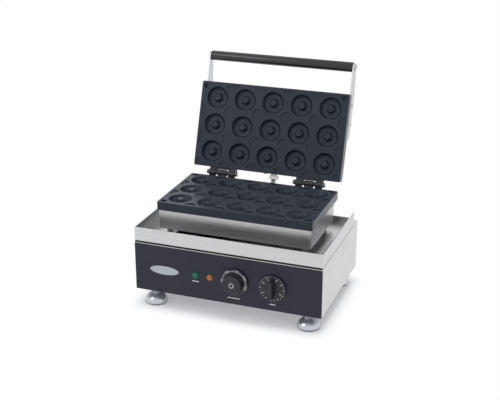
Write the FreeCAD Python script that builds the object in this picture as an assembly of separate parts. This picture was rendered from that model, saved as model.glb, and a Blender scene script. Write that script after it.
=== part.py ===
"""A bench-top donut maker: two hinged mould plates over a steel base with dials.

Millimetres, X to the right, Y to the back, Z up from the floor. The lid stands open.
"""
import FreeCAD
import Part
import math
import os

V = FreeCAD.Vector
ALONG_X = V(1, 0, 0)
ALONG_Y = V(0, 1, 0)
ALONG_Z = V(0, 0, 1)

# Fits: the play of a turning shaft, of a screw in its hole, and of a sheet in its neighbour
shaft_play = 0.05
hole_play = 0.2
sheet_play = 0.3

# Base
base_height = 109.0
sheet = 1.2
bend_radius = 2.5
top_flange = 22.0
bottom_flange = 12.0
fascia_thickness = 0.8
panel_lip = 2.0
panel_gap = 1.5
panel_flange = 10.0

# Vents in the back and the bottom, and the inlet of the mains lead
vent_width = 3.0
vent_length = 24.0
vent_pitch = 9.0
vent_count = 8
vent_height = 78.0
vent_inset = 123.0
inlet_inset = 47.0
inlet_height = 24.0
inlet_radius = 8.0
inlet_bore = 3.8
inlet_across = 22.0
inlet_collar = 5.0
inlet_reach = 16.0
inlet_stub = 5.0

# Tray
gasket_thickness = 1.5
gasket_width = 8.0
gasket_inset = 8.0
tray_side_gap = 38.5
tray_front_gap = 42.0
tray_rear_gap = 27.0
ledge_depth = 32.0
rim_height = 30.1
rear_rim_height = 15.8
hem_height = 8.0
deck_side_margin = 28.5
deck_end_margin = 20.0

# Housing under the lower plate
housing_side_inset = 3.5
housing_front_inset = 2.7
housing_rear_inset = 16.8
housing_height = 41.4
housing_corner = 3.0
housing_flange = 12.0
standoff_height = 16.3
standoff_radius = 6.0
standoff_side_inset = 17.5
standoff_inset = 16.0
housing_bolt_radius = 3.0
wire_hole_radius = 16.0

# Mould plates
plate_thickness = 18.3
plate_side_border = 7.0
plate_end_border = 4.6
plate_corner = 4.0
parting_gap = 0.5
ring_columns = 5
ring_rows = 3
ring_pitch_x = 65.2
ring_pitch_y = 60.1
ring_radius = 24.25
ring_depth = 8.6
ring_draft = 2.6
ring_foot = 3.0
post_radius = 6.4
post_draft = 2.8
relief_radius = 12.6
relief_depth = 1.2
relief_border = 5.5
recess_radius = 5.6
recess_depth = 6.0
recess_inset = 10.5
plate_screw_radius = 2.5
plate_screw_depth = 8.0
plate_screw_head = 4.5
plate_screw_head_height = 3.2

# Heating elements behind the plates
heater_radius = 4.0
heater_side_margin = 10.0
heater_end_margin = 44.75
heater_seat = 0.1
clamp_width = 14.0
clamp_thickness = 2.0
clamp_overhang = 14.0
clamp_leg_radius = 4.0
clamp_inset = 27.0
wool_side_margin = 32.5
wool_end_margin = 15.0
lower_wool = 23.0
upper_wool = 16.0

# Hinges
hinge_inset = 69.0
hinge_width = 60.0
hinge_back = 10.8
hinge_rise = 4.6
open_angle = 109.0
pin_radius = 3.0
knuckle_radius = 6.4
leaf_thickness = 4.0
leaf_top = 2.2
leaf_height = 15.3
lid_lug_width = 15.0
base_lug_width = 20.0
stop_drop = 11.8
stop_thickness = 4.5
stop_gap = 0.3
hinge_screw_radius = 2.0
hinge_screw_head = 4.0
hinge_screw_countersink = 2.2
hinge_screw_length = 12.0
base_screw_spread = 22.0
lid_screw_spread = 7.0
hinge_screw_drop = 10.0
pin_nut_across = 10.0
pin_nut_height = 5.0
pin_end = 1.5

# Lid
cover_side_inset = 5.8
cover_height = 33.0
cover_inset = 4.0
cover_corner = 5.0

# Handle
arm_thickness = 4.0
arm_width = 28.5
arm_overlap = 85.0
arm_tip_radius = 9.0
arm_screw_near = 22.0
arm_screw_far = 64.0
arm_screw_radius = 2.5
arm_screw_head = 5.0
arm_screw_head_height = 3.0
grip_radius = 10.75
grip_ahead = 59.8
grip_rise = 24.4
rod_radius = 5.0
rod_end = 6.0
cap_nut_radius = 7.5
cap_nut_height = 8.5

# Wiring conduit between the housing and the lid
conduit_radius = 6.0
conduit_root = 5.0
conduit_bore = 4.0
conduit_rib_pitch = 6.0
conduit_bend = 20.0
conduit_base_x = -64.0
conduit_lid_x = 10.0
conduit_base_height = 20.5
conduit_base_run = 40.0
conduit_lid_run = 30.0
gland_across = 17.0
gland_nut_height = 5.0
gland_barrel_radius = 7.5
gland_barrel = 12.0
gland_stub_radius = 6.0

# Controls, with heights above the underside of the base
temperature_x = 19.0
timer_x = 101.0
dial_height = 51.5
dial_gap = 0.6
temperature_skirt_radius = 30.0
temperature_grip_radius = 21.5
temperature_reach = 21.0
timer_skirt_radius = 29.0
timer_bar_width = 11.0
timer_reach = 21.0
dial_skirt = 4.0
dial_edge = 1.2
dial_bore_depth = 13.0
control_shaft_radius = 3.0
control_shaft_in = 12.0
bush_radius = 5.0
thermostat_width = 46.0
thermostat_depth = 34.0
thermostat_height = 40.0
timer_width = 44.0
timer_depth = 42.0
power_lamp_x = -67.8
heating_lamp_x = -36.0
lamp_height = 52.0
lamp_radius = 6.75
lamp_reach = 5.5
lamp_stem_radius = 4.8
lamp_holder_radius = 7.0
lamp_holder_length = 24.0
terminal_length = 58.0
terminal_depth = 22.0
terminal_height = 20.0
terminal_side_inset = 56.0
terminal_rear_inset = 49.0

# Feet
foot_height = 37.0
foot_side_inset = 34.3
foot_front_inset = 26.4
foot_rear_inset = 26.3
foot_radius = 23.4
foot_neck_radius = 10.3
foot_shoulder_radius = 12.5
foot_shoulder_height = 29.0
foot_belly_height = 9.0
foot_gap = 0.3
pad_radius = 21.5
pad_thickness = 2.5
pad_show = 1.5
foot_lip = 0.8
foot_collar = 2.0
stud_radius = 4.0
stud_foot = 10.0
stud_nut_across = 13.0
stud_nut_height = 6.5
stud_end = 2.0
bottom_screw_radius = 2.0
bottom_screw_head = 3.6
bottom_screw_head_height = 2.2
bottom_screw_length = 6.0

# Plan: the rings set the plates, the plates the housing and the cover, and the housing the tray and base
plate_width = ring_columns * ring_pitch_x + 2 * plate_side_border
plate_depth = ring_rows * ring_pitch_y + 2 * plate_end_border
housing_width = plate_width - 2 * housing_side_inset
housing_depth = plate_depth - housing_front_inset - housing_rear_inset
cover_half = plate_width / 2 - cover_side_inset
body_width = housing_width + 2 * tray_side_gap
tray_depth = tray_front_gap + housing_depth + tray_rear_gap
body_depth = tray_depth + ledge_depth
plate_front = tray_front_gap - housing_front_inset
half_width = body_width / 2
hinge_offset = plate_width / 2 - hinge_inset
foot_x = half_width - foot_side_inset

# Levels above the floor
base_z = foot_height
shell_z = base_z + base_height
tray_z = shell_z + gasket_thickness
deck_z = tray_z + sheet
housing_z = deck_z + standoff_height
plate_z = housing_z + housing_height
parting_z = plate_z + plate_thickness
lid_parting_z = parting_z + parting_gap
lid_back_z = lid_parting_z + plate_thickness
hinge_z = parting_z + hinge_rise
panel_z = shell_z - panel_gap
fascia_z = panel_z - panel_lip
dial_z = base_z + dial_height
lamp_z = base_z + lamp_height

# Depths: the middle of the part, lid open, is at Y 0, so the front face of the base lies ahead of it
lean = math.radians(open_angle)
hinge_from_front = plate_front + plate_depth + hinge_back


def swing(dy, dz):
    """Where a point of the closed lid, seen from the hinge line, goes when the lid opens."""
    return (dy * math.cos(lean) + dz * math.sin(lean), dz * math.cos(lean) - dy * math.sin(lean))


grip_from_front = plate_front - grip_ahead
grip_swung = swing(grip_from_front - hinge_from_front, parting_gap + grip_rise - hinge_rise)
rear_reach = hinge_from_front + grip_swung[0] + grip_radius
front_y = -(rear_reach - temperature_reach) / 2
skin = fascia_thickness + sheet
panel_back_y = front_y + skin
body_back_y = front_y + body_depth
plate_y = front_y + plate_front
plate_back_y = plate_y + plate_depth
housing_y = front_y + tray_front_gap
housing_back_y = housing_y + housing_depth
housing_mid_y = housing_y + housing_depth / 2
hinge_y = front_y + hinge_from_front
leaf_back_y = plate_back_y + leaf_thickness
grip_y = front_y + grip_from_front
grip_z = lid_parting_z + grip_rise
hinge_line = V(0, hinge_y, hinge_z)


# Shapes that several pieces share
def box(x0, x1, y0, y1, z0, z1):
    return Part.makeBox(x1 - x0, y1 - y0, z1 - z0, V(x0, y0, z0))


def rod(radius, start, axis, length):
    return Part.makeCylinder(radius, length, start, axis)


def fuse(shapes):
    return shapes[0].multiFuse(shapes[1:]).removeSplitter()


def aimed(shape, start, axis):
    """Turns a shape made about +Z so that it stands at start along axis."""
    turn = FreeCAD.Rotation(ALONG_Z, axis)
    shape.Placement = FreeCAD.Placement(start, turn)
    return shape


def turned(outline, start, axis):
    """Revolves a closed outline of (radius, height) corners."""
    corners = [V(r, 0, h) for r, h in outline]
    face = Part.Face(Part.makePolygon(corners + corners[:1]))
    return aimed(face.revolve(V(), ALONG_Z, 360), start, axis)


def hexagon(across, height, start, axis):
    corner = across / math.sqrt(3)
    ring = [V(corner * math.cos(a), corner * math.sin(a), 0) for a in (math.pi / 3 * i for i in range(7))]
    return aimed(Part.Face(Part.makePolygon(ring)).extrude(V(0, 0, height)), start, axis)


def upright_edges(shape):
    return [e for e in shape.Edges if abs(e.tangentAt(e.FirstParameter).z) > 0.99]


def round_uprights(shape, radius, keep=lambda edge: True):
    return shape.makeFillet(radius, [e for e in upright_edges(shape) if keep(e)])


def side_plate(outline, x0, x1):
    """Extrudes a (y, z) outline from x0 to x1."""
    corners = [V(x0, y, z) for y, z in outline]
    return Part.Face(Part.makePolygon(corners + corners[:1])).extrude(V(x1 - x0, 0, 0))


def tapered_bar(first, first_radius, second, second_radius, x0, x1):
    """A flat bar with round ends, its edges tangent to both ends."""
    dy, dz = second[0] - first[0], second[1] - first[1]
    reach = math.hypot(dy, dz)
    heading = math.atan2(dz, dy)
    spread = math.acos((first_radius - second_radius) / reach)
    corners = []
    for centre, radius, side in ((first, first_radius, 1), (second, second_radius, 1),
                                 (second, second_radius, -1), (first, first_radius, -1)):
        angle = heading + side * spread
        corners.append((centre[0] + radius * math.cos(angle), centre[1] + radius * math.sin(angle)))
    ends = [rod(r, V(x0, *c), ALONG_X, x1 - x0) for c, r in ((first, first_radius), (second, second_radius))]
    return fuse([side_plate(corners, x0, x1)] + ends)


def slot(centre, along, through, width, length, depth):
    """A round-ended slot, cut through from its centre both ways."""
    half = along * ((length - width) / 2)
    across = along.cross(through)
    start = centre - through * (depth / 2)
    corners = [start + half + across * (width / 2), start - half + across * (width / 2),
               start - half - across * (width / 2), start + half - across * (width / 2)]
    web = Part.Face(Part.makePolygon(corners + corners[:1])).extrude(through * depth)
    ends = [rod(width / 2, start + end, through, depth) for end in (half, half * -1)]
    return fuse([web] + ends)


def opened(shape):
    """Swings a piece of the closed lid up to where the lid stands open."""
    turned_shape = shape.copy()
    turned_shape.rotate(hinge_line, ALONG_X, -open_angle)
    return turned_shape


def lower(shape):
    """Places a shape made on the mould face of a plate, its back downwards, under the parting face."""
    placed = shape.copy()
    placed.translate(V(0, plate_y, parting_z))
    return placed


def upper(shape):
    """The same on the lid: turned over, closed on the lower plate and then swung open."""
    placed = shape.copy()
    placed.rotate(V(), ALONG_Y, 180)
    placed.translate(V(0, plate_y, lid_parting_z))
    return opened(placed)


os.makedirs("parts", exist_ok=True)


def save(name, shape):
    shape.exportStep("parts/" + name + ".step")


def save_group(name, solids):
    save(name, Part.makeCompound(solids))


# Base shell: folded sheet round the sides, back and top, open to the front and below
foot_rows = (front_y + foot_front_inset, body_back_y - foot_rear_inset)
foot_places = [(sx * foot_x, y) for y in foot_rows for sx in (-1, 1)]
shell = box(-half_width, half_width, panel_back_y, body_back_y, base_z, shell_z)
shell = round_uprights(shell, bend_radius, lambda e: e.CenterOfMass.y > 0)
hollow = box(-half_width + sheet, half_width - sheet, panel_back_y - sheet, body_back_y - sheet,
             base_z + sheet, shell_z - sheet)
hollow = round_uprights(hollow, bend_radius - sheet, lambda e: e.CenterOfMass.y > 0)
shell = shell.cut(hollow)
shell = shell.cut(box(-half_width + top_flange, half_width - top_flange, panel_back_y + top_flange,
                      front_y + tray_depth - top_flange, shell_z - 2 * sheet, shell_z + sheet))
shell = shell.cut(box(-half_width + bottom_flange, half_width - bottom_flange, front_y,
                      body_back_y - bottom_flange, base_z - sheet, base_z + 2 * sheet))
vent_spread = half_width - vent_inset
vent_offsets = [(i - (vent_count - 1) / 2) * vent_pitch for i in range(vent_count)]
for side in (-1, 1):
    for offset in vent_offsets:
        centre = V(side * vent_spread + offset, body_back_y - sheet / 2, base_z + vent_height)
        shell = shell.cut(slot(centre, ALONG_Z, ALONG_Y, vent_width, vent_length, 3 * sheet))
inlet = V(half_width - inlet_inset, body_back_y, base_z + inlet_height)
shell = shell.cut(rod(inlet_radius + hole_play, inlet - ALONG_Y * (2 * sheet), ALONG_Y, 4 * sheet))
body_mid_y = front_y + body_depth / 2
screw_places = [V(sx * (half_width - bottom_flange / 2), body_mid_y + sy * body_depth / 4, base_z)
                for sx in (-1, 1) for sy in (-1, 1)]
bottom_drills = [rod(bottom_screw_radius + hole_play, place - ALONG_Z * sheet, ALONG_Z, 4 * sheet)
                 for place in screw_places]
for drill in bottom_drills:
    shell = shell.cut(drill)
save("base_shell", shell)

# Front panel: a steel pan behind the black fascia, its folded lip showing above it
lamp_places = [V(x, front_y, lamp_z) for x in (power_lamp_x, heating_lamp_x)]
dial_places = [V(x, front_y, dial_z) for x in (temperature_x, timer_x)]
panel_half = half_width - bottom_flange - sheet_play
panel = fuse([
    box(-half_width, half_width, front_y + fascia_thickness, panel_back_y, base_z, panel_z),
    box(-panel_half, panel_half, panel_back_y - sheet, panel_back_y + panel_flange, panel_z - sheet, panel_z),
    box(-panel_half, panel_half, panel_back_y - sheet, panel_back_y + panel_flange, base_z, base_z + sheet),
])
fascia = box(-half_width, half_width, front_y, front_y + fascia_thickness, base_z, fascia_z)
for place, radius in ([(p, lamp_stem_radius) for p in lamp_places] + [(p, bush_radius) for p in dial_places]):
    drill = rod(radius + hole_play, place - ALONG_Y * skin, ALONG_Y, 3 * skin)
    panel = panel.cut(drill)
    fascia = fascia.cut(drill)
save("front_panel", panel)
save("control_fascia", fascia)

# Bottom plate: lies on the flanges of the shell and the panel, with vents and the foot studs through it
bottom_z = base_z + sheet
bottom_half = half_width - sheet - sheet_play
bottom = box(-bottom_half, bottom_half, panel_back_y + sheet_play, body_back_y - sheet - bend_radius,
             bottom_z, bottom_z + sheet)
for x, y in foot_places:
    bottom = bottom.cut(rod(stud_radius + hole_play, V(x, y, base_z), ALONG_Z, 3 * sheet))
for side in (-1, 1):
    for offset in vent_offsets:
        centre = V(side * vent_spread + offset, body_mid_y, bottom_z + sheet / 2)
        bottom = bottom.cut(slot(centre, ALONG_Y, ALONG_Z, vent_width, vent_length, 3 * sheet))
for drill in bottom_drills:
    bottom = bottom.cut(drill)
save("bottom_plate", bottom)
save_group("bottom_screws", [
    turned([(0, -bottom_screw_head_height), (bottom_screw_head - 1, -bottom_screw_head_height),
            (bottom_screw_head, -bottom_screw_head_height / 2), (bottom_screw_head, 0),
            (bottom_screw_radius, 0), (bottom_screw_radius, bottom_screw_length), (0, bottom_screw_length)],
           place, ALONG_Z) for place in screw_places])

# Tray gasket and tray: a pan with a hemmed rim, lower at the back, cut out under the housing
gasket_y0 = front_y + gasket_inset
gasket_y1 = front_y + tray_depth - gasket_inset
gasket_half = half_width - gasket_inset
gasket = box(-gasket_half, gasket_half, gasket_y0, gasket_y1, shell_z, tray_z)
gasket = gasket.cut(box(-gasket_half + gasket_width, gasket_half - gasket_width, gasket_y0 + gasket_width,
                        gasket_y1 - gasket_width, shell_z - 1, tray_z + 1))
save("tray_gasket", gasket)

tray_back_y = front_y + tray_depth
rim_z = tray_z + rim_height
tray = box(-half_width, half_width, front_y, tray_back_y, tray_z, rim_z)
tray = round_uprights(tray, bend_radius)
well_half = half_width - sheet
mouth_half = well_half - sheet
well = box(-well_half, well_half, front_y + sheet, tray_back_y - sheet, deck_z, rim_z - hem_height)
mouth = box(-mouth_half, mouth_half, front_y + 2 * sheet, tray_back_y - sheet,
            rim_z - 2 * hem_height, rim_z + sheet)
tray = tray.cut(round_uprights(well, bend_radius - sheet)).cut(mouth)
tray = tray.cut(box(-mouth_half, mouth_half, tray_back_y - 2 * sheet, tray_back_y + sheet,
                    tray_z + rear_rim_height, rim_z + sheet))
deck_half = housing_width / 2 - deck_side_margin
tray = tray.cut(box(-deck_half, deck_half, housing_y + deck_end_margin, housing_back_y - deck_end_margin,
                    tray_z - sheet, deck_z + sheet))
standoff_x = housing_width / 2 - standoff_side_inset
standoff_places = [V(sx * standoff_x, y, deck_z) for sx in (-1, 1)
                   for y in (housing_y + standoff_inset, housing_back_y - standoff_inset)]
for place in standoff_places:
    tray = tray.cut(rod(housing_bolt_radius + hole_play, place - ALONG_Z * (2 * sheet), ALONG_Z, 3 * sheet))
save("tray", tray)

# Stand-offs, with a bolt down through each and a nut under the tray
bolt_head_height = housing_bolt_radius * 1.3
bolt_across = housing_bolt_radius * 10 / 3
nut_height = housing_bolt_radius * 5 / 3
save_group("housing_standoffs", [
    rod(standoff_radius, place, ALONG_Z, standoff_height).cut(
        rod(housing_bolt_radius + hole_play, place, ALONG_Z, standoff_height)) for place in standoff_places])
bolts, nuts = [], []
for place in standoff_places:
    head = V(place.x, place.y, housing_z + sheet)
    nut = V(place.x, place.y, tray_z - nut_height)
    bolt_end = nut - ALONG_Z * (housing_bolt_radius / 2)
    bolts.append(fuse([hexagon(bolt_across, bolt_head_height, head, ALONG_Z),
                       rod(housing_bolt_radius, bolt_end, ALONG_Z, head.z - bolt_end.z)]))
    nuts.append(hexagon(bolt_across, nut_height, nut, ALONG_Z).cut(
        rod(housing_bolt_radius + shaft_play, nut, ALONG_Z, nut_height)))
save_group("housing_bolts", bolts)
save_group("housing_nuts", nuts)

# Lower housing: a steel tub with a flange round its mouth, which carries the lower plate
flange_middle = housing_flange / 2 + 2 * sheet
plate_screw_places = [V(sx * (cover_half - sheet - housing_flange / 2), y, -plate_thickness) for sx in (-1, 1)
                      for y in (housing_front_inset + flange_middle,
                                plate_depth - housing_rear_inset - flange_middle)]
housing = box(-housing_width / 2, housing_width / 2, housing_y, housing_back_y, housing_z, plate_z)
housing = round_uprights(housing, housing_corner)
tub = box(-housing_width / 2 + sheet, housing_width / 2 - sheet, housing_y + sheet, housing_back_y - sheet,
          housing_z + sheet, plate_z - sheet)
housing = housing.cut(round_uprights(tub, housing_corner - sheet))
flange_half = housing_width / 2 - sheet - housing_flange
housing = housing.cut(box(-flange_half, flange_half, housing_y + sheet + housing_flange,
                          housing_back_y - sheet - housing_flange, plate_z - 2 * sheet, plate_z + sheet))
housing = housing.cut(rod(wire_hole_radius, V(0, housing_mid_y, housing_z - sheet), ALONG_Z, 3 * sheet))
for place in standoff_places:
    hole = V(place.x, place.y, housing_z - sheet)
    housing = housing.cut(rod(housing_bolt_radius + hole_play, hole, ALONG_Z, 3 * sheet))
base_gland = V(conduit_base_x, housing_back_y, housing_z + conduit_base_height)
gland_hole = rod(gland_stub_radius + hole_play, V(0, -2 * sheet, 0), ALONG_Y, 3 * sheet)
housing = housing.cut(gland_hole.translated(base_gland))
screw_drills = [rod(plate_screw_radius + hole_play, place - ALONG_Z * (2 * sheet), ALONG_Z, 2 * sheet)
                for place in plate_screw_places]
for drill in screw_drills:
    housing = housing.cut(lower(drill))
save("lower_housing", housing)


# Mould plates: a grid of ring cavities round centre posts, shallow round reliefs between them
def grid(count, pitch):
    return [(i - (count - 1) / 2) * pitch for i in range(count)]


def casting(recess_places):
    body = box(-plate_width / 2, plate_width / 2, 0, plate_depth, -plate_thickness, 0)
    body = round_uprights(body, plate_corner)
    wall_foot = ring_radius - ring_draft
    floor_edge = wall_foot - ring_foot
    post_foot = post_radius + post_draft
    wall_depth = ring_depth - ring_foot
    groove = [(post_radius, 0), (post_foot, -ring_depth), (floor_edge, -ring_depth),
              (wall_foot, -wall_depth), (ring_radius, 0)]
    cutters = [turned(groove, V(x, plate_depth / 2 + y, 0), ALONG_Z)
               for x in grid(ring_columns, ring_pitch_x) for y in grid(ring_rows, ring_pitch_y)]
    field = box(-plate_width / 2 + relief_border, plate_width / 2 - relief_border, relief_border,
                plate_depth - relief_border, -relief_depth, 0)
    for x in grid(ring_columns + 1, ring_pitch_x):
        for y in grid(ring_rows + 1, ring_pitch_y):
            disc = rod(relief_radius, V(x, plate_depth / 2 + y, -relief_depth), ALONG_Z, relief_depth)
            cutters.append(disc.common(field))
    for side in recess_places:
        centre = V(side * (plate_width / 2 - recess_inset), recess_inset, -recess_depth)
        cutters.append(rod(recess_radius, centre, ALONG_Z, recess_depth))
    for place in plate_screw_places:
        cutters.append(rod(plate_screw_radius + shaft_play, place, ALONG_Z, plate_screw_depth + shaft_play))
    for x, z in hinge_screw_places:
        cutters.append(rod(hinge_screw_radius + shaft_play, V(x, plate_depth, z), ALONG_Y * -1,
                           hinge_screw_length - leaf_thickness + shaft_play))
    return body.cut(Part.makeCompound(cutters))


def hinge_holes(spread):
    return [(side * hinge_offset + end * spread, -hinge_screw_drop) for side in (-1, 1) for end in (-1, 1)]


hinge_screw_places = hinge_holes(base_screw_spread)
save("lower_plate", lower(casting([-1])))
hinge_screw_places = hinge_holes(lid_screw_spread)
save("upper_plate", upper(casting([-1, 1])))

# Screws up through the housing flange, and through the cover flange, into the backs of the plates
plate_screws = []
for place in plate_screw_places:
    plate_screws.append(turned([
        (0, -sheet - plate_screw_head_height), (plate_screw_head - 1, -sheet - plate_screw_head_height),
        (plate_screw_head, -sheet - plate_screw_head_height / 2), (plate_screw_head, -sheet),
        (plate_screw_radius, -sheet), (plate_screw_radius, plate_screw_depth), (0, plate_screw_depth)],
        place, ALONG_Z))
save_group("lower_plate_screws", [lower(s) for s in plate_screws])
save_group("upper_plate_screws", [upper(s) for s in plate_screws])

# Heating elements: a tube folded into three rows on the back of each plate, under clamp bars on legs
tube_z = -plate_thickness - heater_seat - heater_radius
clamp_z = tube_z - heater_radius - heater_seat
heater_row_gap = plate_depth / 2 - heater_end_margin
turn_radius = heater_row_gap / 2
heater_run = cover_half - sheet - housing_flange - heater_side_margin - heater_radius - turn_radius
rows = [plate_depth / 2 + step * heater_row_gap for step in (-1, 0, 1)]
run_end = heater_run + turn_radius
heater_path = Part.Wire([
    Part.LineSegment(V(-turn_radius, rows[0], tube_z), V(-heater_run, rows[0], tube_z)).toShape(),
    Part.Arc(V(-heater_run, rows[0], tube_z), V(-run_end, rows[0] + turn_radius, tube_z),
             V(-heater_run, rows[1], tube_z)).toShape(),
    Part.LineSegment(V(-heater_run, rows[1], tube_z), V(heater_run, rows[1], tube_z)).toShape(),
    Part.Arc(V(heater_run, rows[1], tube_z), V(run_end, rows[1] + turn_radius, tube_z),
             V(heater_run, rows[2], tube_z)).toShape(),
    Part.LineSegment(V(heater_run, rows[2], tube_z), V(turn_radius, rows[2], tube_z)).toShape(),
])
heater_section = Part.Wire([Part.Circle(V(-turn_radius, rows[0], tube_z), ALONG_X, heater_radius).toShape()])
heater = heater_path.makePipeShell([heater_section], True, False)
save("lower_heater", lower(heater))
save("upper_heater", upper(heater))

clamp_x = heater_run - clamp_inset
clamps = []
for x in (-clamp_x, clamp_x):
    bar = box(x - clamp_width / 2, x + clamp_width / 2, rows[0] - clamp_overhang, rows[2] + clamp_overhang,
              clamp_z - clamp_thickness, clamp_z)
    legs = [rod(clamp_leg_radius, V(x, y, clamp_z), ALONG_Z, -plate_thickness - clamp_z)
            for y in (rows[0] + turn_radius, rows[1] + turn_radius)]
    clamps.append(fuse([bar] + legs))
save_group("lower_heater_clamps", [lower(c) for c in clamps])
save_group("upper_heater_clamps", [upper(c) for c in clamps])

# Insulation: a wool slab on the floor of the housing, and one under the top of the lid cover
def wool(bottom, thickness):
    half = housing_width / 2 - wool_side_margin
    return box(-half, half, housing_y + wool_end_margin, housing_back_y - wool_end_margin,
               bottom, bottom + thickness)


save("lower_insulation", wool(housing_z + sheet, lower_wool))
save("upper_insulation", opened(wool(lid_back_z + cover_height - sheet - upper_wool, upper_wool)))


# Hinges: a leaf on each plate's back edge, the lid's two lugs outside the base's one, on a nutted pin
def leaf(side, screw_spread):
    middle = side * hinge_offset
    blank = box(middle - hinge_width / 2, middle + hinge_width / 2, plate_depth, plate_depth + leaf_thickness,
                -leaf_top - leaf_height, -leaf_top)
    for end in (-1, 1):
        place = V(middle + end * screw_spread, plate_depth + leaf_thickness, -hinge_screw_drop)
        blank = blank.cut(hinge_screw(place, shaft_play))
    return blank


def hinge_screw(place, play):
    """A countersunk screw whose flat head is flush with the back of the leaf; play widens it into a hole."""
    head, shank = hinge_screw_head + play, hinge_screw_radius + play
    return turned([(0, 0), (head, 0), (shank, hinge_screw_countersink), (shank, hinge_screw_length),
                   (0, hinge_screw_length)], place, ALONG_Y * -1)


knuckle_side = knuckle_radius * math.sin(math.radians(60))
knuckle_drop = knuckle_radius * math.cos(math.radians(60))
stop_y = leaf_back_y + stop_gap
for side, name in ((-1, "left"), (1, "right")):
    middle = side * hinge_offset
    pin_hole = rod(pin_radius + shaft_play, hinge_line + ALONG_X * (middle - hinge_width), ALONG_X,
                   2 * hinge_width)
    lug_x = middle - base_lug_width / 2
    base_lug = side_plate([(leaf_back_y, parting_z - leaf_top),
                           (hinge_y - knuckle_side, hinge_z - knuckle_drop),
                           (hinge_y + knuckle_side, hinge_z - knuckle_drop),
                           (leaf_back_y, parting_z - leaf_top - leaf_height)], lug_x, lug_x + base_lug_width)
    base_knuckle = rod(knuckle_radius, V(lug_x, hinge_y, hinge_z), ALONG_X, base_lug_width)
    base_leaf = fuse([lower(leaf(side, base_screw_spread)), base_lug, base_knuckle]).cut(pin_hole)
    save("hinge_base_leaf_" + name, base_leaf)

    lid_pieces = [upper(leaf(-side, lid_screw_spread))]
    for lug_x in (middle - hinge_width / 2, middle + hinge_width / 2 - lid_lug_width):
        end_x = lug_x + lid_lug_width
        web = side_plate([(leaf_back_y, lid_parting_z + leaf_top),
                          (leaf_back_y, lid_parting_z + leaf_top + leaf_height),
                          (hinge_y + knuckle_side, hinge_z + knuckle_drop),
                          (hinge_y, hinge_z)], lug_x, end_x)
        stop = side_plate([(stop_y, hinge_z), (stop_y, hinge_z - stop_drop),
                           (stop_y + stop_thickness, hinge_z - stop_drop),
                           (hinge_y + knuckle_side, hinge_z - knuckle_drop)], lug_x, end_x)
        knuckle = rod(knuckle_radius, V(lug_x, hinge_y, hinge_z), ALONG_X, lid_lug_width)
        lid_pieces += [opened(web), stop, knuckle]
    save("hinge_lid_leaf_" + name, fuse(lid_pieces).cut(pin_hole))

def hinge_screws(spread):
    return [hinge_screw(V(x, plate_depth + leaf_thickness, z), 0) for x, z in hinge_holes(spread)]


save_group("hinge_base_screws", [lower(s) for s in hinge_screws(base_screw_spread)])
save_group("hinge_lid_screws", [upper(s) for s in hinge_screws(lid_screw_spread)])

pins, pin_nuts = [], []
pin_reach = hinge_width / 2 + stop_gap + pin_nut_height + pin_end
for side in (-1, 1):
    middle = side * hinge_offset
    pins.append(rod(pin_radius, V(middle - pin_reach, hinge_y, hinge_z), ALONG_X, 2 * pin_reach))
    for end in (-1, 1):
        seat = V(middle + end * (hinge_width / 2 + stop_gap), hinge_y, hinge_z)
        nut = hexagon(pin_nut_across, pin_nut_height, seat, ALONG_X * end)
        pin_nuts.append(nut.cut(rod(pin_radius + shaft_play, seat, ALONG_X * end, pin_nut_height)))
save_group("hinge_pins", pins)
save_group("hinge_pin_nuts", pin_nuts)

# Lid cover: a steel lid box behind the upper plate, flanged like the housing, drilled for the arms
cover_y0 = plate_y + cover_inset
cover_y1 = plate_back_y - cover_inset
cover_top = lid_back_z + cover_height
arm_z = lid_back_z + sheet_play + arm_width / 2


def bowl(margin, radius):
    block = box(-cover_half + margin, cover_half - margin, cover_y0 + margin, cover_y1 - margin,
                lid_back_z + margin, cover_top - margin)
    edges = [e for e in block.Edges if e.CenterOfMass.z > lid_back_z + 2 * margin + radius]
    return block.makeFillet(radius, edges)


cover = bowl(0, cover_corner).cut(bowl(sheet, cover_corner - sheet))
cover_flange_half = cover_half - sheet - housing_flange
cover = cover.cut(box(-cover_flange_half, cover_flange_half, housing_y + sheet + housing_flange,
                      housing_back_y - sheet - housing_flange, lid_back_z - sheet, lid_back_z + 2 * sheet))
arm_screw_places = [V(sx * cover_half, plate_y + along, arm_z) for sx in (-1, 1)
                    for along in (arm_screw_near, arm_screw_far)]
for place in arm_screw_places:
    cover = cover.cut(rod(arm_screw_radius + hole_play, place - ALONG_X * (3 * sheet), ALONG_X, 6 * sheet))
lid_gland = V(conduit_lid_x, cover_y1, lid_back_z + cover_height / 2)
cover = cover.cut(gland_hole.translated(lid_gland))
cover = opened(cover)
for drill in screw_drills:
    cover = cover.cut(upper(drill))
save("lid_cover", cover)

# Handle: flat arms screwed to the sides of the cover, a black grip on a rod between them
for side, name in ((-1, "left"), (1, "right")):
    x0, x1 = sorted((side * cover_half, side * (cover_half + arm_thickness)))
    root = (plate_y + arm_overlap, arm_z)
    bend = (plate_y, arm_z)
    tip = (grip_y, grip_z)
    arm = fuse([tapered_bar(root, arm_width / 2, bend, arm_width / 2, x0, x1),
                tapered_bar(bend, arm_width / 2, tip, arm_tip_radius, x0, x1)])
    arm = arm.cut(rod(rod_radius + shaft_play, V(x0, *tip), ALONG_X, arm_thickness))
    for along in (arm_screw_near, arm_screw_far):
        hole = V(x0, plate_y + along, arm_z)
        arm = arm.cut(rod(arm_screw_radius + hole_play, hole, ALONG_X, arm_thickness))
    save("handle_arm_" + name, opened(arm))

arm_screws = []
for place in arm_screw_places:
    out = ALONG_X * (1 if place.x > 0 else -1)
    head_top = arm_thickness + arm_screw_head_height
    arm_screws.append(opened(turned([
        (0, -3 * sheet), (arm_screw_radius, -3 * sheet), (arm_screw_radius, arm_thickness),
        (arm_screw_head, arm_thickness), (arm_screw_head, head_top - arm_screw_head_height / 2),
        (arm_screw_head * 0.7, head_top), (0, head_top)], place, out)))
save_group("arm_screws", arm_screws)

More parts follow.
